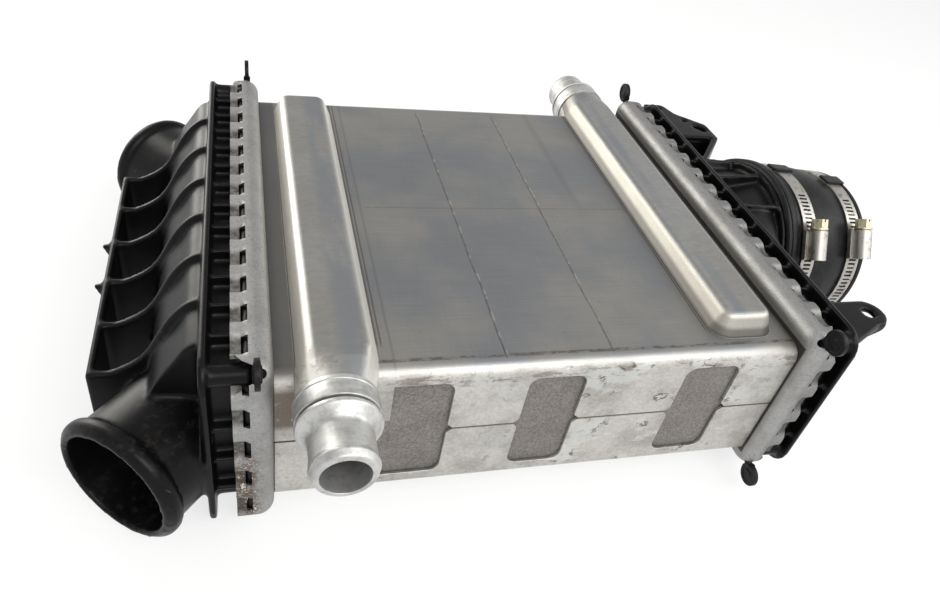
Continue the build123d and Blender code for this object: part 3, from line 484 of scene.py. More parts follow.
        # Painted shade: the thin fillet strip just above the top sheet at the channels' feet is
        # darkened.
        fillet_painted_shade = s.near(s.z, self.sheet_top + 0.4, 0.66, 0.05) * s.rise(s.y, -95.5, -94.5)
        s.lay(fillet_painted_shade * 0.85, self.groove)
        peel = s.noise(17.0, 5.0, 0.62, (1.5, 1.0, 1.0), 21.0)
        front = s.rise(s.y, -98.0, -99.2)
        spread = front * s.most(s.near(s.x, 42.0, 70.0, 20.0), 0.35)
        flakes = s.rise(peel, 0.52, 0.575) * spread
        s.lay(flakes * 0.55, self.flake)
        rims = s.near(peel, 0.548, 0.012, 0.022) * spread
        rims *= s.rise(s.noise(6.0, 4.0, 0.6, seed=52.0), 0.5, 0.6)
        s.lay(rims * 0.8, self.smut)
        seam = s.near(s.z, self.seam_height, 0.7, 0.35) * s.rise(abs(s.y), 98.9, 99.4)
        s.lay(seam * 0.8, self.smut)
        blots = s.rise(s.noise(9.0, 6.0, 0.72, seed=21.0), 0.62, 0.70) * (1.0 - top)
        blots *= 1.0 - raised
        s.lay(blots * 0.45, self.stain)
        corner_x, corner_z = self.worn_corner
        corner = s.near(s.x, corner_x, 9.0, 4.0) * s.near(s.z, corner_z, 15.0, 4.0)
        corner *= s.rise(s.y, -96.0, -99.0)
        corner *= s.rise(s.noise(5.0, 4.0, 0.7), 0.3, 0.42)
        s.lay(corner * 0.85, self.stain)
        fold = s.near(s.z, self.side_fold, 3.0, 2.5)
        fold *= s.rise(s.noise(3.5, 5.0, 0.75, (3.0, 1.0, 1.0), 31.0), 0.5, 0.6)
        fold *= s.rise(abs(s.y), 98.0, 99.0)
        s.lay(fold * 0.55, self.stain)
        pits = s.rise(s.cells(7.0, 4.0), 0.055, 0.03)
        s.lay(pits * 0.6, self.stain)
        rough = clouds * 0.1 + self.roughness
        rough += (1.0 - top) * 0.12
        s.bump(fine, self.grain_depth)
        s.bump(speck, 0.05)
        s.bump(s.noise(38.0, 1.0, 0.5, seed=40.0), 0.20)
        return s.finish(rough, Metallic=self.metallic)


@dataclass(frozen=True)
class DullSheet:
    """The dry, grainy skin of the side plates behind the windows."""

    name: str = "dull_sheet"
    base: Colour = (0.205, 0.190, 0.178)
    dark: Colour = (0.085, 0.075, 0.066)
    light: Colour = (0.300, 0.285, 0.268)
    metallic: float = 0.55
    roughness: float = 0.62

    def build(self) -> Material:
        """Make the material.

        Returns:
            The material.
        """
        s = Shading(self.name)
        grain = s.noise(0.9, 4.0, 0.75)
        clouds = s.noise(16.0, 3.0, 0.6, seed=3.0)
        s.colour = s.blend(s.rise(grain, 0.30, 0.72), self.dark, self.light)
        s.lay(0.35, self.base)
        s.tint(clouds * 0.5 + 0.75)
        rough = grain * 0.2 + (self.roughness - 0.1)
        s.bump(grain, 0.12)
        return s.finish(rough, Metallic=self.metallic)


@dataclass(frozen=True)
class PressedSheet:
    """The header plates: matt pressed aluminium with speckle, scuffs and salt corrosion, and
    painted shade in the pressed recesses, on the plate beside the jacket and in the crevice
    round it.
    """

    name: str = "pressed_sheet"
    base: Colour = (0.345, 0.345, 0.340)
    # dust colours the plate's real clouds and also the painted shade on its face beside the
    # jacket.
    dust: Colour = (0.215, 0.205, 0.190)
    salt: Colour = (0.720, 0.700, 0.660)
    rust: Colour = (0.150, 0.115, 0.085)
    # soot also paints the shade in the pressed recesses of the rim.
    soot: Colour = (0.062, 0.056, 0.050)
    crevice_painted_shade: Colour = (0.012, 0.011, 0.010)
    metallic: float = 0.85
    roughness: float = 0.42
    salt_z: Pair = (44.0, 20.0)
    salt_y: Pair = (-84.0, -100.0)
    outer_y: float = 105.5
    outer_high: float = 72.0
    outer_low: float = -8.5
    jacket_half_width: float = 100.0
    jacket_middle: float = 31.75
    jacket_half_height: float = 31.75
    seam_width: float = 1.3

    def build(self) -> Material:
        """Make the material.

        Returns:
            The material.
        """
        s = Shading(self.name)
        grain = s.noise(0.7, 5.0, 0.75)
        clouds = s.noise(12.0, 4.0, 0.65, seed=6.0)
        pepper = s.rise(s.noise(1.0, 3.0, 0.6, seed=61.0), 0.60, 0.68)
        s.colour = s.blend(s.rise(clouds, 0.42, 0.7) * 0.4, self.base, self.dust)
        s.tint(grain * 0.9 + 0.55)
        s.lay(pepper * 0.55, self.rust)
        reach = abs(s.x)
        side_depth = self.outer_y - abs(s.y)
        above = self.outer_high - s.z
        sunk = s.least(side_depth, above, s.z - self.outer_low)
        rim = s.rise(reach, 107.5, 110.0)
        shade = rim * s.rise(s.x, 0.0, 1.0)
        s.tint(shade * -0.26 + 1.0)
        # Painted shade in the pressed recesses of the rim, mottled like dirt.
        pressed = s.rise(sunk, 0.15, 1.9) * s.rise(reach, 109.0, 111.0)
        recess_dirt_and_shade = s.rise(s.noise(2.2, 5.0, 0.7, seed=12.0), 0.34, 0.66)
        recess_dirt_and_shade = pressed * (recess_dirt_and_shade * 0.5 + 0.42)
        s.lay(recess_dirt_and_shade, self.soot)
        # Painted shade: the header plate's face just beside the jacket darkened with the dust
        # colour.
        groove = s.rise(reach, 104.4, 102.8)
        s.lay(groove * 0.45, self.dust)
        # Painted shade: a near-black band on the header plate round the jacket's edge, for the
        # shade in the crevice there.
        beyond = abs(s.y) - self.jacket_half_width
        over = abs(s.z - self.jacket_middle) - self.jacket_half_height
        seam = s.rise(s.most(beyond, over), self.seam_width, self.seam_width * 0.5)
        seam *= s.rise(reach, 103.6, 103.0)
        s.lay(seam * 0.85, self.crevice_painted_shade)
        where = s.rise(s.y, *self.salt_y) * s.rise(s.z, *self.salt_z)
        where *= s.rise(reach, 105.5, 110.5)
        where *= s.rise(s.x, 0.0, -1.0)
        crust = s.noise(3.4, 6.0, 0.75, seed=17.0)
        s.lay(where * s.rise(crust, 0.46, 0.54), self.rust)
        s.lay(where * s.rise(crust, 0.56, 0.62), self.salt)
        rough = clouds * 0.16 + self.roughness
        rough = s.most(rough, where * 0.8)
        rough = s.most(rough, pressed * 0.7)
        s.bump(grain, 0.07)
        s.bump(where * crust, 0.9)
        return s.finish(rough, Metallic=self.metallic)


@dataclass(frozen=True)
class TurnedAlloy:
    """Machined aluminium with fine rings round the turning axis Y."""

    name: str = "turned_alloy"
    base: Colour = (0.520, 0.520, 0.510)
    scuff: Colour = (0.360, 0.355, 0.345)
    soot: Colour = (0.100, 0.085, 0.070)
    metallic: float = 0.86
    roughness: float = 0.35
    ring: float = 0.28

    def build(self) -> Material:
        """Make the material.

        Returns:
            The material.
        """
        s = Shading(self.name)
        rings = s.noise(self.ring, 2.0, 0.6, (300.0, 1.0, 300.0))
        broad = s.noise(2.4, 2.0, 0.6, (60.0, 1.0, 60.0), 7.0)
        smear = s.noise(6.0, 5.0, 0.7, seed=11.0)
        s.colour = s.blend(s.rise(smear, 0.42, 0.68), self.base, self.scuff)
        s.tint(broad * 0.5 + 0.78)
        stain = s.rise(s.noise(2.4, 6.0, 0.75, seed=15.0), 0.66, 0.74)
        s.lay(stain * 0.35, self.soot)
        rough = smear * 0.22 + self.roughness
        s.bump(rings, 0.012)
        s.bump(s.noise(1.2, 3.0, seed=19.0), 0.03)
        return s.finish(rough, Metallic=self.metallic)


@dataclass(frozen=True)
class MouldedNylon:
    """Black glass-filled nylon with flow grain, rubbed edges, warm dust, a warm film on the
    inlet neck that is partly painted sheen, and fine scratches.
    """

    name: str = "moulded_nylon"
    base: Colour = (0.0032, 0.0034, 0.0040)
    rubbed: Colour = (0.008, 0.008, 0.009)
    dust: Colour = (0.120, 0.100, 0.076)
    scratch: Colour = (0.220, 0.210, 0.200)
    roughness: float = 0.25
    specular: float = 0.14

    def build(self) -> Material:
        """Make the material.

        Returns:
            The material.
        """
        s = Shading(self.name)
        nz = s.upward()
        clouds = s.noise(22.0, 4.0, 0.65)
        grain = s.noise(0.45, 3.0, 0.6)
        s.colour = s.blend(s.rise(clouds, 0.50, 0.78), self.base, self.rubbed)
        speck = s.rise(s.noise(1.3, 6.0, 0.8, seed=8.0), 0.62, 0.72)
        settle = speck * s.rise(nz, 0.15, 0.9)
        s.lay(settle * 0.16, self.dust)
        neck = s.rise(s.y, -74.0, -86.0) * s.rise(s.x, -122.0, -128.0)
        # Partly painted sheen: a warm film on the inlet neck's upper side stands for dust and
        # for its warm highlight.
        neck_dust_and_sheen = s.rise(s.noise(3.2, 6.0, 0.75, seed=23.0), 0.50, 0.66)
        neck_dust_and_sheen *= neck * s.rise(nz, 0.35, 0.85)
        s.lay(neck_dust_and_sheen * 0.12, self.dust)
        scratch = s.rise(s.noise(0.5, 2.0, 0.4, (34.0, 2.0, 20.0), 27.0), 0.73, 0.78)
        s.lay(scratch * 0.22, self.scratch)
        rough = clouds * 0.2 + self.roughness
        rough = s.sum("ADD", rough, settle * 0.2, clamp=True)
        s.bump(grain, 0.022)
        s.bump(s.noise(9.0, 2.0, 0.5, seed=33.0), 0.12)
        return s.finish(rough, Specular_IOR_Level=self.specular)


@dataclass(frozen=True)
class AgedRubber:
    """Black rubber, greyed and dusty on its raised places."""

    name: str
    base: Colour = (0.005, 0.005, 0.006)
    bloom: Colour = (0.014, 0.014, 0.014)
    dust: Colour = (0.150, 0.135, 0.112)
    roughness: float = 0.40
    dust_share: float = 0.22
    specular: float = 0.18

    def build(self) -> Material:
        """Make the material.

        Returns:
            The material.
        """
        s = Shading(self.name)
        clouds = s.noise(9.0, 5.0, 0.7)
        skin = s.noise(0.6, 3.0, 0.6, seed=4.0)
        s.colour = s.blend(s.rise(clouds, 0.45, 0.75), self.base, self.bloom)
        powder = s.rise(s.noise(2.2, 6.0, 0.8, seed=9.0), 0.60, 0.72)
        s.lay(powder * self.dust_share, self.dust)
        rough = clouds * 0.28 + (self.roughness - 0.1)
        s.bump(skin, 0.05)
        s.bump(s.noise(6.0, 3.0, 0.6, seed=13.0), 0.25)
        return s.finish(rough, Specular_IOR_Level=self.specular)


@dataclass(frozen=True)
class ClampSteel:
    """Stainless strip or plated screw steel with water spots."""

    name: str
    base: Colour = (0.430, 0.415, 0.385)
    spot: Colour = (0.150, 0.125, 0.095)
    metallic: float = 1.0
    roughness: float = 0.32

    def build(self) -> Material:
        """Make the material.

        Returns:
            The material.
        """
        s = Shading(self.name)
        clouds = s.noise(3.2, 5.0, 0.7)
        brushed = s.noise(0.25, 2.0, 0.5, (1.0, 20.0, 20.0), 5.0)
        s.colour = s.blend(s.rise(clouds, 0.50, 0.72), self.base, self.spot)
        rough = clouds * 0.25 + self.roughness
        s.bump(brushed, 0.01)
        return s.finish(rough, Metallic=self.metallic)


@dataclass(frozen=True)
class BrazedFoil:
    """The thin bright sheet of the air tubes and fins."""

    name: str = "brazed_foil"
    base: Colour = (0.50, 0.50, 0.49)
    flux: Colour = (0.36, 0.35, 0.33)
    metallic: float = 0.95
    roughness: float = 0.34

    def build(self) -> Material:
        """Make the material.

        Returns:
            The material.
        """
        s = Shading(self.name)
        clouds = s.noise(5.0, 4.0, 0.65)
        s.colour = s.blend(s.rise(clouds, 0.4, 0.7), self.base, self.flux)
        rough = clouds * 0.2 + self.roughness
        s.bump(s.noise(0.8), 0.03)
        return s.finish(rough, Metallic=self.metallic)


# ------ mesh work
def linked(name: str, mesh: bpy.types.Mesh) -> Object:
    """Put a mesh in the scene as an object at the origin.

    Args:
        name: the object's name.
        mesh: its mesh.

    Returns:
        The object.
    """
    piece = bpy.data.objects.new(name, mesh)
    bpy.context.scene.collection.objects.link(piece)
    return piece


@contextmanager
def edited(mesh: bpy.types.Mesh) -> Iterator[bmesh.types.BMesh]:
    """Open a mesh for editing and write it back.

    Args:
        mesh: the mesh.

    Returns:
        Its editable form, while the block lasts.
    """
    work = bmesh.new()
    work.from_mesh(mesh)
    yield work
    work.to_mesh(mesh)
    work.free()


def built(name: str, points: list, faces: list) -> Object:
    """A piece from points in millimetres and faces.

    Args:
        name: the piece's name.
        points: corner points.
        faces: indices of each face's corners.

    Returns:
        The piece, merged, with its faces pointing outwards.
    """
    mesh = bpy.data.meshes.new(name)
    mesh.from_pydata([tuple(c * MM for c in p) for p in points], [], faces)
    with edited(mesh) as work:
        bmesh.ops.remove_doubles(work, verts=work.verts, dist=0.002 * MM)
        bmesh.ops.recalc_face_normals(work, faces=work.faces)
    return linked(name, mesh)


def settled(piece: Object) -> Object:
    """Turn a piece's live modifiers into its plain mesh.

    Args:
        piece: the piece.

    Returns:
        The same piece, without modifiers.
    """
    graph = bpy.context.evaluated_depsgraph_get()
    mesh = bpy.data.meshes.new_from_object(piece.evaluated_get(graph), depsgraph=graph)
    piece.modifiers.clear()
    piece.data = mesh
    return piece


def modified(piece: Object, kind: str, name: str, **settings: object) -> None:
    """Add a modifier with its settings to a piece.

    Args:
        piece: the piece.
        kind: Blender's name of the modifier type.
        name: the modifier's name.
        settings: properties of the modifier.
    """
    made = piece.modifiers.new(name, kind)
    for setting, value in settings.items():
        setattr(made, setting, value)


def copy_of(node: str, name: str) -> Object:
    """A merged copy of a CAD node's mesh, flat faces joined, as a new piece.

    Args:
        node: the CAD node's name.
        name: the new piece's name.

    Returns:
        The piece.
    """
    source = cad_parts[node].data
    mesh = bpy.data.meshes.new(name)
    mesh.from_pydata([v.co[:] for v in source.vertices], [],
                     [tuple(p.vertices) for p in source.polygons])
    with edited(mesh) as work:
        bmesh.ops.remove_doubles(work, verts=work.verts, dist=0.001 * MM)
        bmesh.ops.dissolve_limit(work, angle_limit=math.radians(0.3), verts=work.verts,
                                 edges=work.edges)
    return linked(name, mesh)


def facing_out(piece: Object, index: int, way: Vector) -> None:
    """Turn an open sheet's faces so that those at one corner point look a given way.

    Args:
        piece: the sheet.
        index: the corner point's index.
        way: the direction that the sheet's outside faces there.
    """
    with edited(piece.data) as work:
        bmesh.ops.recalc_face_normals(work, faces=work.faces)
        work.verts.ensure_lookup_table()
        if sum(face.normal.dot(way) for face in work.verts[index].link_faces) < 0:
            bmesh.ops.reverse_faces(work, faces=work.faces)


def smoothed(piece: Object, sharp: float = 40.0) -> Object:
    """Shade a piece smooth but for edges sharper than an angle in degrees.

    Args:
        piece: the piece.
        sharp: least turn of an edge that stays sharp.

    Returns:
        The same piece.
    """
    piece.data.shade_smooth()
    piece.data.set_sharp_from_angle(angle=math.radians(sharp))
    return piece


def eased(piece: Object, width: float, steps: int = 3,
          angle: float = 32.0) -> Object:
    """Round a piece's edges.

    Args:
        piece: the piece.
        width: width of the rounding in millimetres.
        steps: facets across it.
        angle: least turn of an edge that is rounded, in degrees.

    Returns:
        The same piece.
    """
    modified(piece, "BEVEL", "eased_edges", width=width * MM, segments=steps,
             limit_method="ANGLE", angle_limit=math.radians(angle), use_clamp_overlap=True,
             loop_slide=False)
    smoothed(settled(piece), 50.0)
    modified(piece, "WEIGHTED_NORMAL", "flat_faces", weight=100, keep_sharp=True)
    return settled(piece)


def moulded(name: str, nodes: tuple[str, ...], cell: float, rounds: int,
            most: int) -> Object:
    """Fuse CAD nodes that are one moulding into one soft-edged piece.

    Args:
        name: the new piece's name.
        nodes: the nodes that are one moulding.
        cell: size of the fused mesh's cells in millimetres.
        rounds: passes of smoothing.
        most: triangles that the piece may keep.

    Returns:
        The piece.
    """
    work = bmesh.new()
    for node in nodes:
        part = copy_of(node, node + "_part")
        with edited(part.data) as swelled:
            swelled.normal_update()
            for vert in swelled.verts:
                vert.co += vert.normal * SWELL
        work.from_mesh(part.data)
        bpy.data.objects.remove(part)
    mesh = bpy.data.meshes.new(name)
    work.to_mesh(mesh)
    work.free()
    piece = linked(name, mesh)
    modified(piece, "REMESH", "one_moulding", mode="VOXEL", voxel_size=cell * MM)
    modified(piece, "SMOOTH", "soft_edges", factor=0.5, iterations=rounds)
    settled(piece)
    count = 2 * len(piece.data.polygons)
    log.info("%s: %d triangles before thinning", name, count)
    if count > most:
        modified(piece, "DECIMATE", "thinned", ratio=most / count)
        modified(piece, "SMOOTH", "evened", factor=0.5, iterations=2)
        settled(piece)
    return smoothed(piece, 85.0)


def turned(name: str, profile: list[Pair], origin: Triple, axis: Triple,
           facets: int = 144) -> Object:
    """A solid of revolution.

    Args:
        name: the piece's name.
        profile: closed outline as (radius, distance along the axis), in millimetres.
        origin: the point that distances start from.
        axis: the direction they run in.
        facets: facets round the axis.

    Returns:
        The piece.
    """
    turn = Vector((0, 0, 1)).rotation_difference(Vector(axis).normalized()).to_matrix()
    points, faces = [], []
    for k in range(facets):
        a = 2 * math.pi * k / facets
        for radius, along in profile:
            spot = turn @ Vector((radius * math.cos(a), radius * math.sin(a), along))
            points.append(tuple(spot + Vector(origin)))
    n = len(profile)
    for k in range(facets):
        here, there = k * n, ((k + 1) % facets) * n
        for i in range(n):
            j = (i + 1) % n
            faces.append((here + i, here + j, there + j, there + i))
    return smoothed(built(name, points, faces), 35.0)


def rounded(corners: list[tuple[float, float, float]], steps: int = 5) -> list[Pair]:
    """Round the corners of a closed outline.

    Args:
        corners: (across, along, rounding) of each corner; zero keeps it sharp.
        steps: points in each rounding.

    Returns:
        The outline's points.
    """
    out: list[Pair] = []
    count = len(corners)
    for k, (x, y, radius) in enumerate(corners):
        here = Vector((x, y))
        if radius <= 0:
            out.append((x, y))
            continue
        back = Vector(corners[k - 1][:2]) - here
        ahead = Vector(corners[(k + 1) % count][:2]) - here
        cut = min(radius, 0.45 * back.length, 0.45 * ahead.length)
        a, b = here + back.normalized() * cut, here + ahead.normalized() * cut
        for i in range(steps + 1):
            t = i / steps
            spot = a * (1 - t) ** 2 + here * (2 * t * (1 - t)) + b * t ** 2
            out.append((spot.x, spot.y))
    return out


def dressed(piece: Object, material: Material, slot: Slot,
            *nodes: str) -> Object:
    """Give a piece its finish and its place on the part.

    Args:
        piece: a finished piece.
        material: its finish.
        slot: not used.
        nodes: the CAD nodes that it stands for.

    Returns:
        The same piece.
    """
    piece.data.materials.clear()
    piece.data.materials.append(material)
    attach(piece, BODY)
    if nodes:
        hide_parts(*nodes)
    log.info("%s: %d faces", piece.name, len(piece.data.polygons))
    return piece


def finish_node(node: str, material: Material) -> None:
    """Give a CAD node that stays in view its finish.

    Args:
        node: the node's name.
        material: its finish.
    """
    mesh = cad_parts[node].data
    mesh.materials.clear()
    mesh.materials.append(material)


# ------ geometry trees
class ShapeTree(NodeWork):
    """A geometry tree with named inputs that is run once to make a plain mesh."""

    def __init__(self, name: str) -> None:
        """Start an empty tree.

        Args:
            name: the tree's name.
        """
        super().__init__(bpy.data.node_groups.new(name, "GeometryNodeTree"))
        self.values: dict[str, object] = {}
        self.idents: dict[str, str] = {}
        self.tree.interface.new_socket("Geometry", in_out="OUTPUT",
                                       socket_type="NodeSocketGeometry")
        self.ins = self.add("NodeGroupInput")
        self.outs = self.add("NodeGroupOutput")

    def given(self, name: str, value: object, kind: str = "NodeSocketFloat") -> Value:
        """Add a named input with its value and return it.

        Args:
            name: the input's name.
            value: its value.
            kind: Blender's name of the socket type.

        Returns:
            What the input gives.
        """
        made = self.tree.interface.new_socket(name, in_out="INPUT", socket_type=kind)
        self.values[name] = value
        self.idents[name] = made.identifier
        return Value(self, self.ins.outputs[name])

    def sizes(self, owner: object, *names: str) -> list[Value]:
        """Add an input for each of some fields of an object and return them in order.

        Args:
            owner: the object.
            names: its fields.

        Returns:
            What the inputs give.
        """
        return [self.given(name.replace("_", " ").title(), getattr(owner, name))
                for name in names]

    def grid(self, along: int, across: int) -> tuple[Socket, Value, Value]:
        """A unit grid of faces.

        Args:
            along: faces along it.
            across: faces across it.

        Returns:
            The grid, the share of its length from 0 to 1, and the share of its width from
            -0.5 to 0.5.
        """
        made = self.add("GeometryNodeMeshGrid", {"Size X": 1.0, "Size Y": 1.0,
                                                 "Vertices X": along + 1,
                                                 "Vertices Y": across + 1})
        u, v, _ = self.parts(self.add("GeometryNodeInputPosition").outputs[0])
        return made.outputs[0], self.sum("ADD", u, 0.5, clamp=True), v

    def laid(self, grid: Socket, gone: Value, place: Socket, merged: float) -> Socket:
        """Cut holes in a grid and lay it in place.

        Args:
            grid: the grid.
            gone: above 0.5 on the faces that are cut away.
            place: where its points go, in millimetres.
            merged: distance within which points become one, in millimetres.

        Returns:
            The sheet, in metres.
        """
        kept = self.add("GeometryNodeDeleteGeometry", {"Geometry": grid,
                                                       "Selection": gone > 0.5}, domain="FACE")
        moved = self.add("GeometryNodeSetPosition", {"Geometry": kept.outputs[0],
                                                     "Position": place})
        shut = self.add("GeometryNodeMergeByDistance", {0: moved.outputs[0], "Distance": merged})
        return self.add("GeometryNodeTransform", {0: shut.outputs[0],
                                                  "Scale": (MM,) * 3}).outputs[0]

    def run(self, name: str, shape: Socket) -> Object:
        """Close the tree, run it and keep its result.

        Args:
            name: the new piece's name.
            shape: the geometry to end with.

        Returns:
            The piece as a plain mesh.
        """
        whole = self.add("GeometryNodeRealizeInstances", {0: shape}).outputs[0]
        finish = self.given("Finish", PLAIN, "NodeSocketMaterial")
        done = self.add("GeometryNodeSetMaterial", {"Geometry": whole, "Material": finish})
        self.tree.links.new(done.outputs[0], self.outs.inputs[0])
        piece = linked(name, bpy.data.meshes.new(name))
        run = piece.modifiers.new("shape", "NODES")
        run.node_group = self.tree
        for label, value in self.values.items():
            run[self.idents[label]] = value
        return settled(piece)


PLAIN = bpy.data.materials.new("unfinished")


@dataclass
class PressedHeader:
    """A header plate: the flat tube plate and its rim with slots and pressed strips."""

    end: End
    half_width: float = 105.5
    low: float = -8.5
    high: float = 72.0
    corner: float = 8.0
    face: float = 102.7
    depth: float = 13.3
    ridge: float = 6.0
    wall: float = 1.5
    pitch: float = 15.2
    side_pitch: float = 15.9
    side_first: float = 2.9
    strip: float = 9.4
    slot_start: float = 7.6
    slot_width: float = 2.3
    press: float = 2.4
    ramp_out: float = 1.6
    ramp_in: float = 3.4
    eye: float = 3.9
    eye_radius: float = 1.7
    waist: float = 9.7
    waist_half: float = 4.4
    mouth_half: float = 7.6
    straight_from: float = 0.96
    slot_margin: float = 0.6
    no_strip: float = 50.0
    tagged: tuple[tuple[int, int], ...] = ((-1, 1), (1, 1))
    cells_round: int = 900
    cells_across: int = 30

    def rim(self) -> Object:
        """The rim as a thin sheet: a rounded frame swept by its section, strips pressed in.

        Returns:
            The sheet, without thickness.
        """
        t = ShapeTree("pressed_rim")
        half, low, high, corner = t.sizes(self, "half_width", "low", "high", "corner")
        face, depth, ridge, press = t.sizes(self, "face", "depth", "ridge", "press")
        pitch, strip = t.sizes(self, "pitch", "strip")
        side_pitch, side_first = t.sizes(self, "side_pitch", "side_first")
        slot_start, slot_width = t.sizes(self, "slot_start", "slot_width")
        ramp_out, ramp_in = t.sizes(self, "ramp_out", "ramp_in")
        side = t.given("Side", float(self.end.value))
        frame_line = t.add("GeometryNodeCurvePrimitiveQuadrilateral",
                           {"Width": half * 2.0, "Height": high - low})
        bent = t.add("GeometryNodeFilletCurve",
                     {"Curve": frame_line.outputs[0], "Radius": corner, "Count": 24},
                     mode="POLY")
        grid, u, v = t.grid(self.cells_round, self.cells_across)
        v = t.sum("ADD", v, 0.5, clamp=True)
        sample = t.add("GeometryNodeSampleCurve", {"Curves": bent.outputs[0], "Factor": u},
                       mode="FACTOR")
        tx, ty, _ = t.parts(sample.outputs["Tangent"])
        px, py, _ = t.parts(sample.outputs["Position"])
        arc = ridge * (math.pi / 2)
        run = v * (arc + depth - ridge)
        turn = t.least(run / ridge, math.pi / 2)
        straight = t.most(run - arc, 0.0)
        ahead = ridge * (1.0 - t.sum("COSINE", turn)) + straight
        out = ridge * (t.sum("SINE", turn) - 1.0)
        outward_y, outward_z = ty, tx * -1.0
        flip = t.sum("SIGN", outward_y * px + outward_z * py)
        outward_y *= flip
        outward_z *= flip
        level = py + (low + high) * 0.5
        along = t.sum("PINGPONG", px, pitch * 0.5)
        upright = t.sum("PINGPONG", level - side_first, side_pitch * 0.5)
        on_flat = abs(outward_z) > self.straight_from
        on_side = abs(outward_y) > self.straight_from
        away = along * on_flat + upright * on_side
        away += (1.0 - (on_flat + on_side)) * self.no_strip
        room = strip * 0.5 - away
        slot_end = slot_start + slot_width
        past = t.rise(ahead, slot_start, slot_end)
        out -= press * t.rise(room, ramp_out * -1.0, ramp_in) * past
        place = t.joined((face + ahead) * side, px + outward_y * out, level + outward_z * out)
        in_slot = (ahead > slot_start) * (ahead < slot_end) * (room > self.slot_margin)
        shape = t.laid(grid, in_slot, place, 0.02)
        return t.run(f"{self.end.name.lower()}_header", shape)

    def notch_outline(self) -> list[Pair]:
        """A tag's keyhole notch: distance past the header's face, and across it.

        Returns:
            The outline's points.
        """
        turn = np.linspace(-math.pi / 2, math.pi / 2, 15)
        eye = [(self.eye - self.eye_radius * math.cos(t), self.eye_radius * math.sin(t))
               for t in turn]
        far = self.depth + 3.0
        return eye + [(self.waist, self.waist_half), (self.depth, self.mouth_half),
                      (far, self.mouth_half), (far, -self.mouth_half),
                      (self.depth, -self.mouth_half), (self.waist, -self.waist_half)]

    def notch_tool(self) -> Object:
        """Prisms that cut the notches at the corners that carry a gasket tag.

        Returns:
            The prisms as one piece.
        """
        side = self.end.value
        outline = self.notch_outline()
        points, faces = [], []
        for y_side, z_side in self.tagged:
            z = self.high - self.corner if z_side > 0 else self.low + self.corner
            centre = Vector((self.face * side, y_side * (self.half_width - self.corner), z))
            out = Vector((0, y_side, z_side)).normalized()
            over = Vector((0, -out.z, out.y))
            first, count = len(points), len(outline)
            for reach in (self.corner * 0.4, self.corner * 2.0):
                points += [centre + Vector((ahead * side, 0, 0)) + over * across + out * reach
                           for ahead, across in outline]
            faces += [list(range(first, first + count)),
                      list(range(first + 2 * count - 1, first + count - 1, -1))]
            faces += [(first + k, first + (k + 1) % count, first + count + (k + 1) % count,
                       first + count + k) for k in range(count)]
        return built(f"{self.end.name.lower()}_notches", points, faces)

    def build(self, material: Material) -> None:
        """Make the header's rim, dress it and finish its tube plate.

        Args:
            material: the finish of rim and plate.
        """
        end = self.end.name.lower()
        rim = self.rim()
        facing_out(rim, max(rim.data.vertices, key=lambda v: v.co.z).index, Vector((0, 0, 1)))
        modified(rim, "SOLIDIFY", "sheet", thickness=self.wall * MM, offset=-1.0,
                 use_even_offset=False)
        tool = self.notch_tool()
        modified(rim, "BOOLEAN", "notches", operation="DIFFERENCE", solver="EXACT", object=tool)
        settled(rim)
        bpy.data.objects.remove(tool)
        dressed(smoothed(rim, 42.0), material, Slot.HEADER, f"{end}_header_rim")
        finish_node(f"{end}_header_plate", material)


@dataclass
class PerforatedBand:
    """A worm-drive band: a steel ring whose thread slots run along part of its length."""

    name: str
    radius: float
    width: float = 9.0
    thickness: float = 0.8
    slot_pitch: float = 2.2
    slot_width: float = 1.0
    slot_reach: float = 5.6
    arc: float = 0.34
    arc_start: float = 0.0
    cells_round: int = 1040
    cells_across: int = 9

    def build(self, centre: Triple, axis: Triple) -> Object:
        """Make the band.

        Args:
            centre: the middle of the band's near edge.
            axis: the direction its width runs in.

        Returns:
            The piece as a plain mesh.
        """
        t = ShapeTree("perforated_band")
        radius, width = t.sizes(self, "radius", "width")
        pitch, slot, reach = t.sizes(self, "slot_pitch", "slot_width", "slot_reach")
        start, arc = t.sizes(self, "arc_start", "arc")
        grid, u, v = t.grid(self.cells_round, self.cells_across)
        turn = u * (2 * math.pi)
        in_slot = t.sum("PINGPONG", turn * radius, pitch * 0.5) < slot * 0.5
        middle = abs(v) * width < reach * 0.5
        in_share = t.sum("FLOORED_MODULO", u - start, 1.0) < arc
        place = t.joined(radius * t.sum("COSINE", turn), radius * t.sum("SINE", turn),
                         (v + 0.5) * width)
        piece = t.run(self.name, t.laid(grid, in_slot * middle * in_share, place, 0.01))
        facing_out(piece, 0, piece.data.vertices[0].co)
        modified(piece, "SOLIDIFY", "strip", thickness=self.thickness * MM, offset=1.0)
        settled(piece)
        piece.data.transform(Matrix.Translation(Vector(centre) * MM) @ outlet_turn(axis))
        return smoothed(piece, 45.0)


def outlet_turn(axis: Triple) -> Matrix:
    """The turn that lays Z along an axis and keeps X level, pointing to the rear.

    Args:
        axis: the direction that Z is laid along.

    Returns:
        The turn as a 4 by 4 matrix.
    """
    z = Vector(axis).normalized()
    x = Vector((-z.y, z.x, 0)).normalized()
    y = z.cross(x)
    return Matrix((x, y, z)).transposed().to_4x4()


# ------ sub-assemblies
@dataclass
class Jacket:
    """The two folded shells and the dull plates behind their windows."""

    edge: float = 0.35

    def build(self, sheet: Material, dull: Material) -> None:
        """Dress the shells and plates.

        Args:
            sheet: finish of the shells.
            dull: finish of the plates.
        """
        for node in ("upper_jacket_shell", "lower_jacket_shell"):
            piece = eased(copy_of(node, node.replace("_shell", "")), self.edge)
            dressed(piece, sheet, Slot.JACKET, node)
        for node in ("front_side_plate", "rear_side_plate"):
            finish_node(node, dull)


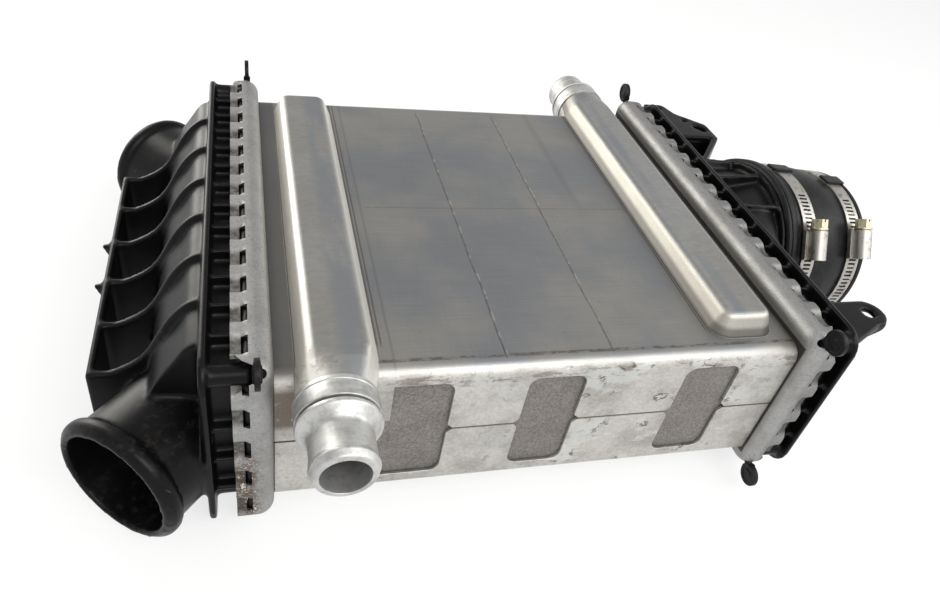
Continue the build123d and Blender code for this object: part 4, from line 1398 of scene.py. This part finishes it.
@dataclass
class AirCore:
    """The air tubes and fins, which stay as the CAD has them."""

    def build(self, foil: Material) -> None:
        """Give every tube and fin its finish.

        Args:
            foil: their finish.
        """
        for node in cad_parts:
            if node.startswith(("air_tube", "air_fin")):
                finish_node(node, foil)


@dataclass
class Tanks:
    """The two moulded end tanks and the gaskets under their feet."""

    cell: float = 0.84
    rounds: int = 5
    most: int = 190_000
    tag_y: float = 106.0
    tag_z: float = 40.7
    middle: float = 31.75
    tag_share: float = 0.6
    mouldings: tuple[tuple[str, tuple[str, ...]], ...] = (
        ("inlet_moulding", ("inlet_tank", "inlet_ribs", "front_inlet_neck", "rear_inlet_neck")),
        ("outlet_moulding", ("outlet_tank", "outlet_body", "outlet_bracket", "outlet_ear",
                             "outlet_neck")),
    )

    def build(self, nylon: Material, rubber: Material) -> None:
        """Make the mouldings soft-edged and dress them.

        Args:
            nylon: finish of the mouldings.
            rubber: finish of the gaskets.
        """
        for name, nodes in self.mouldings:
            piece = moulded(name, nodes, self.cell, self.rounds, self.most)
            dressed(piece, nylon, Slot.TANK, *nodes)
        for node in ("inlet_gasket", "outlet_gasket"):
            piece = eased(copy_of(node, node.replace("_gasket", "_seal")), 0.3, 2)
            tags = [v for v in piece.data.vertices if abs(v.co.y) > self.tag_y * MM
                    or abs(v.co.z - self.middle * MM) > self.tag_z * MM]
            centre = (min(v.co.x for v in tags) + max(v.co.x for v in tags)) / 2
            for vert in tags:
                vert.co.x = centre + (vert.co.x - centre) * self.tag_share
            dressed(piece, rubber, Slot.GASKET, node)


@dataclass
class CoolantFittings:
    """The brazed socket rings and the turned spigots in them."""

    offset: float = 83.4
    height: float = 59.0
    side: float = 108.0
    socket_length: float = 8.4
    socket_radius: float = 14.2
    socket_bore: float = 12.0
    groove: float = 1.1
    flange: float = 1.6
    shoulder: float = 3.8
    neck: float = 10.2
    neck_radius: float = 10.6
    bead: float = 2.4
    bead_radius: float = 11.2
    nose: float = 1.8
    bore: float = 8.0

    def socket_profile(self) -> list[Pair]:
        """The ring's outline, from the collar outwards.

        Returns:
            The outline's points.
        """
        r, b, long = self.socket_radius, self.socket_bore, self.socket_length
        return rounded([(b, 0, 0), (r, 0, 0.2), (r, 1.6, 0.2), (r - 0.25, 2.0, 0.2),
                        (r, 2.4, 0.2), (r, long, 0.5), (b, long, 0.3)])

    def spigot_profile(self) -> list[Pair]:
        """The spigot's outline, from its spud to its nose.

        Returns:
            The outline's points.
        """
        r = self.neck_radius
        y1 = self.flange
        y2 = y1 + self.shoulder
        y3 = y2 + self.neck
        y4 = y3 + self.bead
        y5 = y4 + self.nose
        f = self.socket_radius
        return rounded([(self.bore, -6.0, 0), (self.socket_bore - 0.3, -6.0, 0),
                        (self.socket_bore - 0.3, 0, 0), (f - 0.15, 0, 0.3), (f, 0.5, 0.3),
                        (f, y1, 0.5), (r + 1.7, y1 + self.shoulder * 0.45, 2.0),
                        (r, y2, 1.2), (r, y3, 0.8), (self.bead_radius, (y3 + y4) / 2, 1.2),
                        (r, y4, 1.0), (r - 0.7, y5 - 0.3, 0.8), (r - 1.9, y5, 0.5),
                        (self.bore, y5, 0.4), (self.bore, y5 - 2, 0)])

    def build(self, alloy: Material) -> None:
        """Turn the rings and spigots and dress them.

        Args:
            alloy: their finish.
        """
        for side, label in ((1, "front"), (-1, "rear")):
            axis = (0, -side, 0)
            foot = (-side * self.offset, -side * self.side, self.height)
            ring = turned(f"{label}_socket_ring", self.socket_profile(), foot, axis)
            dressed(ring, alloy, Slot.FITTING, f"{label}_coolant_socket")
            start = self.side + self.socket_length + self.groove
            seat = (-side * self.offset, -side * start, self.height)
            spigot = turned(f"{label}_spigot", self.spigot_profile(), seat, axis)
            dressed(spigot, alloy, Slot.FITTING, f"{label}_coolant_spigot")


@dataclass
class OutletHose:
    """The rubber coupling hose with its two clamps and their keepers."""

    start: Triple = (148.0, 20.0, 27.5)
    yaw: float = 4.0
    dip: float = 6.0
    neck_radius: float = 40.0
    near_radius: float = 44.6
    far_radius: float = 43.4
    wall: float = 4.4
    length: float = 58.5
    lip: float = 46.8
    lip_length: float = 7.0
    near_clamp: float = 12.0
    far_clamp: float = 45.6
    band: float = 9.0

    def axis(self) -> Triple:
        """The direction the hose leaves in."""
        yaw, dip = math.radians(self.yaw), math.radians(self.dip)
        return (math.cos(yaw) * math.cos(dip), math.sin(yaw) * math.cos(dip), -math.sin(dip))

    def at(self, distance: float) -> Triple:
        """A point on the hose's centre line."""
        return tuple(Vector(self.start) + Vector(self.axis()) * distance)

    def profile(self) -> list[Pair]:
        """The hose's outline: moulded lip, clamp seats, a soft swell and the far bead.

        Returns:
            The outline's points.
        """
        n, f, lip = self.near_radius, self.far_radius, self.lip
        inner, far_inner = self.neck_radius + 0.2, self.far_radius - self.wall
        a, b = self.near_clamp - 1.0, self.near_clamp + self.band + 1.0
        c, d = self.far_clamp - 1.0, self.far_clamp + self.band + 1.0
        swell = [(n + (f - n) * t + 1.0 * math.sin(math.pi * t), b + (c - b) * t, 0)
                 for t in np.linspace(0.1, 0.9, 9)]
        return rounded([(inner, 0, 0.4), (lip - 1.4, 0, 0.8), (lip, 1.2, 0.8),
                        (lip, 2.6, 0.3), (lip - 0.7, 3.0, 0.3), (lip, 3.4, 0.3),
                        (lip, self.lip_length - 1.0, 0.8), (n + 0.4, self.lip_length + 1.4, 0.8),
                        (n + 0.4, a, 0.4), (n, a + 0.4, 0.3), (n, b - 0.4, 0.3), *swell,
                        (f, c + 0.2, 0.3), (f, d - 0.2, 0.3), (f + 0.8, d + 0.6, 0.4),
                        (f + 0.8, self.length, 0.8), (far_inner, self.length, 0.8),
                        (far_inner, 32.0, 1.0), (inner, 26.0, 1.0)])

    def build(self, rubber: Material, strip: Material,
              screw: Material, small: Material) -> None:
        """Make the hose, bands and clamps and dress them.

        Args:
            rubber: finish of the hose.
            strip: finish of the bands and housings.
            screw: finish of the screws.
            small: finish of the keepers.
        """
        hose = turned("outlet_hose", self.profile(), self.start, self.axis(), 180)
        dressed(hose, rubber, Slot.HOSE, "coupling_hose")
        for label, place, radius in (("near", self.near_clamp, self.near_radius),
                                     ("far", self.far_clamp, self.far_radius)):
            band = PerforatedBand(f"{label}_band", radius + 0.1, arc_start=0.30)
            dressed(band.build(self.at(place), self.axis()), strip, Slot.CLAMP,
                    f"{label}_clamp_band")
            for part, new, edge, steps, material, slot in (
                    ("housing", "screw_housing", 0.35, 3, strip, Slot.CLAMP),
                    ("screw", "screw", 0.25, 2, screw, Slot.SCREW),
                    ("keeper", "keeper", 0.5, 3, small, Slot.GASKET)):
                node = f"{label}_clamp_{part}"
                piece = eased(copy_of(node, f"{label}_{new}"), edge, steps)
                dressed(piece, material, slot, node)


# ------ studio
@dataclass
class Studio:
    """Pale floor, soft lamps, white surroundings and the camera."""

    lens: float = 28.39
    sensor: float = 36.0
    eye: Triple = (-0.10925, -0.26982, 0.24478)
    right: Triple = (0.9585, -0.2321, 0.1657)
    up: Triple = (0.0274, 0.6532, 0.7567)
    back: Triple = (-0.2839, -0.7207, 0.6324)
    sky: float = 0.62
    dim_sky: float = 0.42
    bright_side: float = 0.50
    right_side: float = 0.26
    high_sky: float = 0.85
    front_sky: float = 0.72
    floor_size: float = 6.0
    floor_drop: float = 0.0009
    floor_tone: float = 0.93
    floor_glow: float = 0.72

    def camera(self) -> None:
        """Place the camera."""
        data = bpy.data.cameras.new("view")
        data.lens = self.lens
        data.sensor_width = self.sensor
        data.clip_start = 0.01
        made = bpy.data.objects.new("view", data)
        turn = Matrix((self.right, self.up, self.back)).transposed().to_4x4()
        made.matrix_world = Matrix.Translation(self.eye) @ turn
        bpy.context.scene.collection.objects.link(made)
        bpy.context.scene.camera = made

    def lamp(self, name: str, place: Triple, size: Pair, power: float,
             tint: Colour = (1.0, 1.0, 1.0), aim: Triple = (0.0, 0.0, 0.03)) -> None:
        """Add one soft area lamp.

        Args:
            name: the lamp's name.
            place: where it hangs.
            size: its width and height.
            power: its power in watts.
            tint: its colour.
            aim: the point that it faces.
        """
        data = bpy.data.lights.new(name, "AREA")
        data.shape = "RECTANGLE"
        data.size, data.size_y = size
        data.energy = power
        data.color = tint
        made = bpy.data.objects.new(name, data)
        made.location = place
        facing = Vector(aim) - Vector(place)
        made.rotation_euler = facing.to_track_quat("-Z", "Y").to_euler()
        bpy.context.scene.collection.objects.link(made)

    def surroundings(self) -> None:
        """White to the eye, graded to glossy rays, and a plain level of light on the rest."""
        world = bpy.data.worlds.new("surroundings")
        world.use_nodes = True
        t = NodeWork(world.node_tree)
        t.tree.nodes.clear()
        rays = t.add("ShaderNodeLightPath").outputs
        seen = t.most(rays["Is Camera Ray"], rays["Is Transmission Ray"])
        back = t.add("ShaderNodeNewGeometry").outputs["Incoming"]
        x, y, z = t.parts(t.vector("MULTIPLY", back, (-1.0, -1.0, -1.0)))
        warm = t.rise(x, 0.05, -0.45) * t.rise(y, -0.1, 0.3)
        level = warm * self.bright_side + self.dim_sky
        level = t.rise(x, 0.1, 0.65) * self.right_side + level
        level = t.most(level, t.rise(z, 0.7, 0.95) * self.high_sky,
                       t.rise(y, 0.0, -0.5) * self.front_sky)
        above = t.rise(z, 0.10, 0.40)
        shown = 1.0 + above * (level - 1.0)
        level = t.most(seen, shown * rays["Is Glossy Ray"])
        plain = 1.0 - t.most(seen, rays["Is Glossy Ray"])
        level = plain * self.sky + level
        light = t.add("ShaderNodeBackground", {0: (1.0, 1.0, 1.0, 1.0), 1: level})
        out = t.add("ShaderNodeOutputWorld")
        t.tree.links.new(light.outputs[0], out.inputs[0])
        bpy.context.scene.world = world

    def floor(self) -> None:
        """A pale floor just under the part's two lowest places, which keeps its shadow."""
        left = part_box("inlet_tank")[0]
        right_low, right_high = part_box("coupling_hose")
        slope = (right_low.z - left.z) / (right_high.x - left.x)
        half = self.floor_size / 2
        corners = []
        for x, y in ((-half, -half), (half, -half), (half, half), (-half, half)):
            corners.append((x, y, left.z + slope * (x - left.x) - self.floor_drop))
        mesh = bpy.data.meshes.new("floor")
        mesh.from_pydata(corners, [], [(0, 1, 2, 3)])
        floor = linked("floor", mesh)
        material = bpy.data.materials.new("pale_floor")
        material.use_nodes = True
        t = NodeWork(material.node_tree)
        t.tree.nodes.clear()
        matt = t.add("ShaderNodeBsdfDiffuse", {"Color": (*(self.floor_tone,) * 3, 1.0)})
        glow = t.add("ShaderNodeEmission", {"Color": (1.0, 1.0, 1.0, 1.0), "Strength": 1.0})
        rays = t.add("ShaderNodeLightPath").outputs
        seen = t.most(rays["Is Camera Ray"], rays["Is Glossy Ray"], rays["Is Transmission Ray"])
        mixed = t.add("ShaderNodeMixShader", {0: seen * self.floor_glow, 1: matt.outputs[0],
                                              2: glow.outputs[0]})
        out = t.add("ShaderNodeOutputMaterial")
        t.tree.links.new(mixed.outputs[0], out.inputs[0])
        mesh.materials.append(material)

    def build(self) -> None:
        """Set up the whole studio."""
        bpy.context.scene.view_settings.view_transform = "Standard"
        self.camera()
        self.surroundings()
        self.floor()
        self.lamp("back_left_strip", (-0.62, 0.80, 0.42), (0.35, 0.9), 6.0, (1.0, 0.96, 0.88))
        self.lamp("back_left_glow", (-0.80, 0.95, 0.15), (1.2, 0.8), 3.6, (1.0, 0.98, 0.94))
        self.lamp("front_high", (0.25, -0.75, 0.85), (0.9, 0.5), 9.0, (1.0, 0.985, 0.96))
        self.lamp("right_fill", (0.95, -0.25, 0.55), (0.6, 0.6), 4.0)


def main() -> None:
    """Build every sub-assembly in order, then the studio."""
    logging.basicConfig(level=logging.INFO, format="%(name)s: %(message)s")
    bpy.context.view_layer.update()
    sheet = RolledSheet().build()
    dull = DullSheet().build()
    pressed = PressedSheet().build()
    alloy = TurnedAlloy().build()
    nylon = MouldedNylon().build()
    seal_rubber = AgedRubber("seal_rubber", dust_share=0.2).build()
    hose_rubber = AgedRubber("hose_rubber").build()
    strip = ClampSteel("clamp_strip").build()
    screw = ClampSteel("plated_screw", base=(0.50, 0.455, 0.33), roughness=0.3).build()
    foil = BrazedFoil().build()
    Jacket().build(sheet, dull)
    AirCore().build(foil)
    PressedHeader(End.INLET).build(pressed)
    PressedHeader(End.OUTLET, tagged=((-1, 1), (1, 1), (-1, -1))).build(pressed)
    Tanks().build(nylon, seal_rubber)
    CoolantFittings().build(alloy)
    OutletHose().build(hose_rubber, strip, screw, seal_rubber)
    Studio().build()


if __name__ == "__main__":
    main()
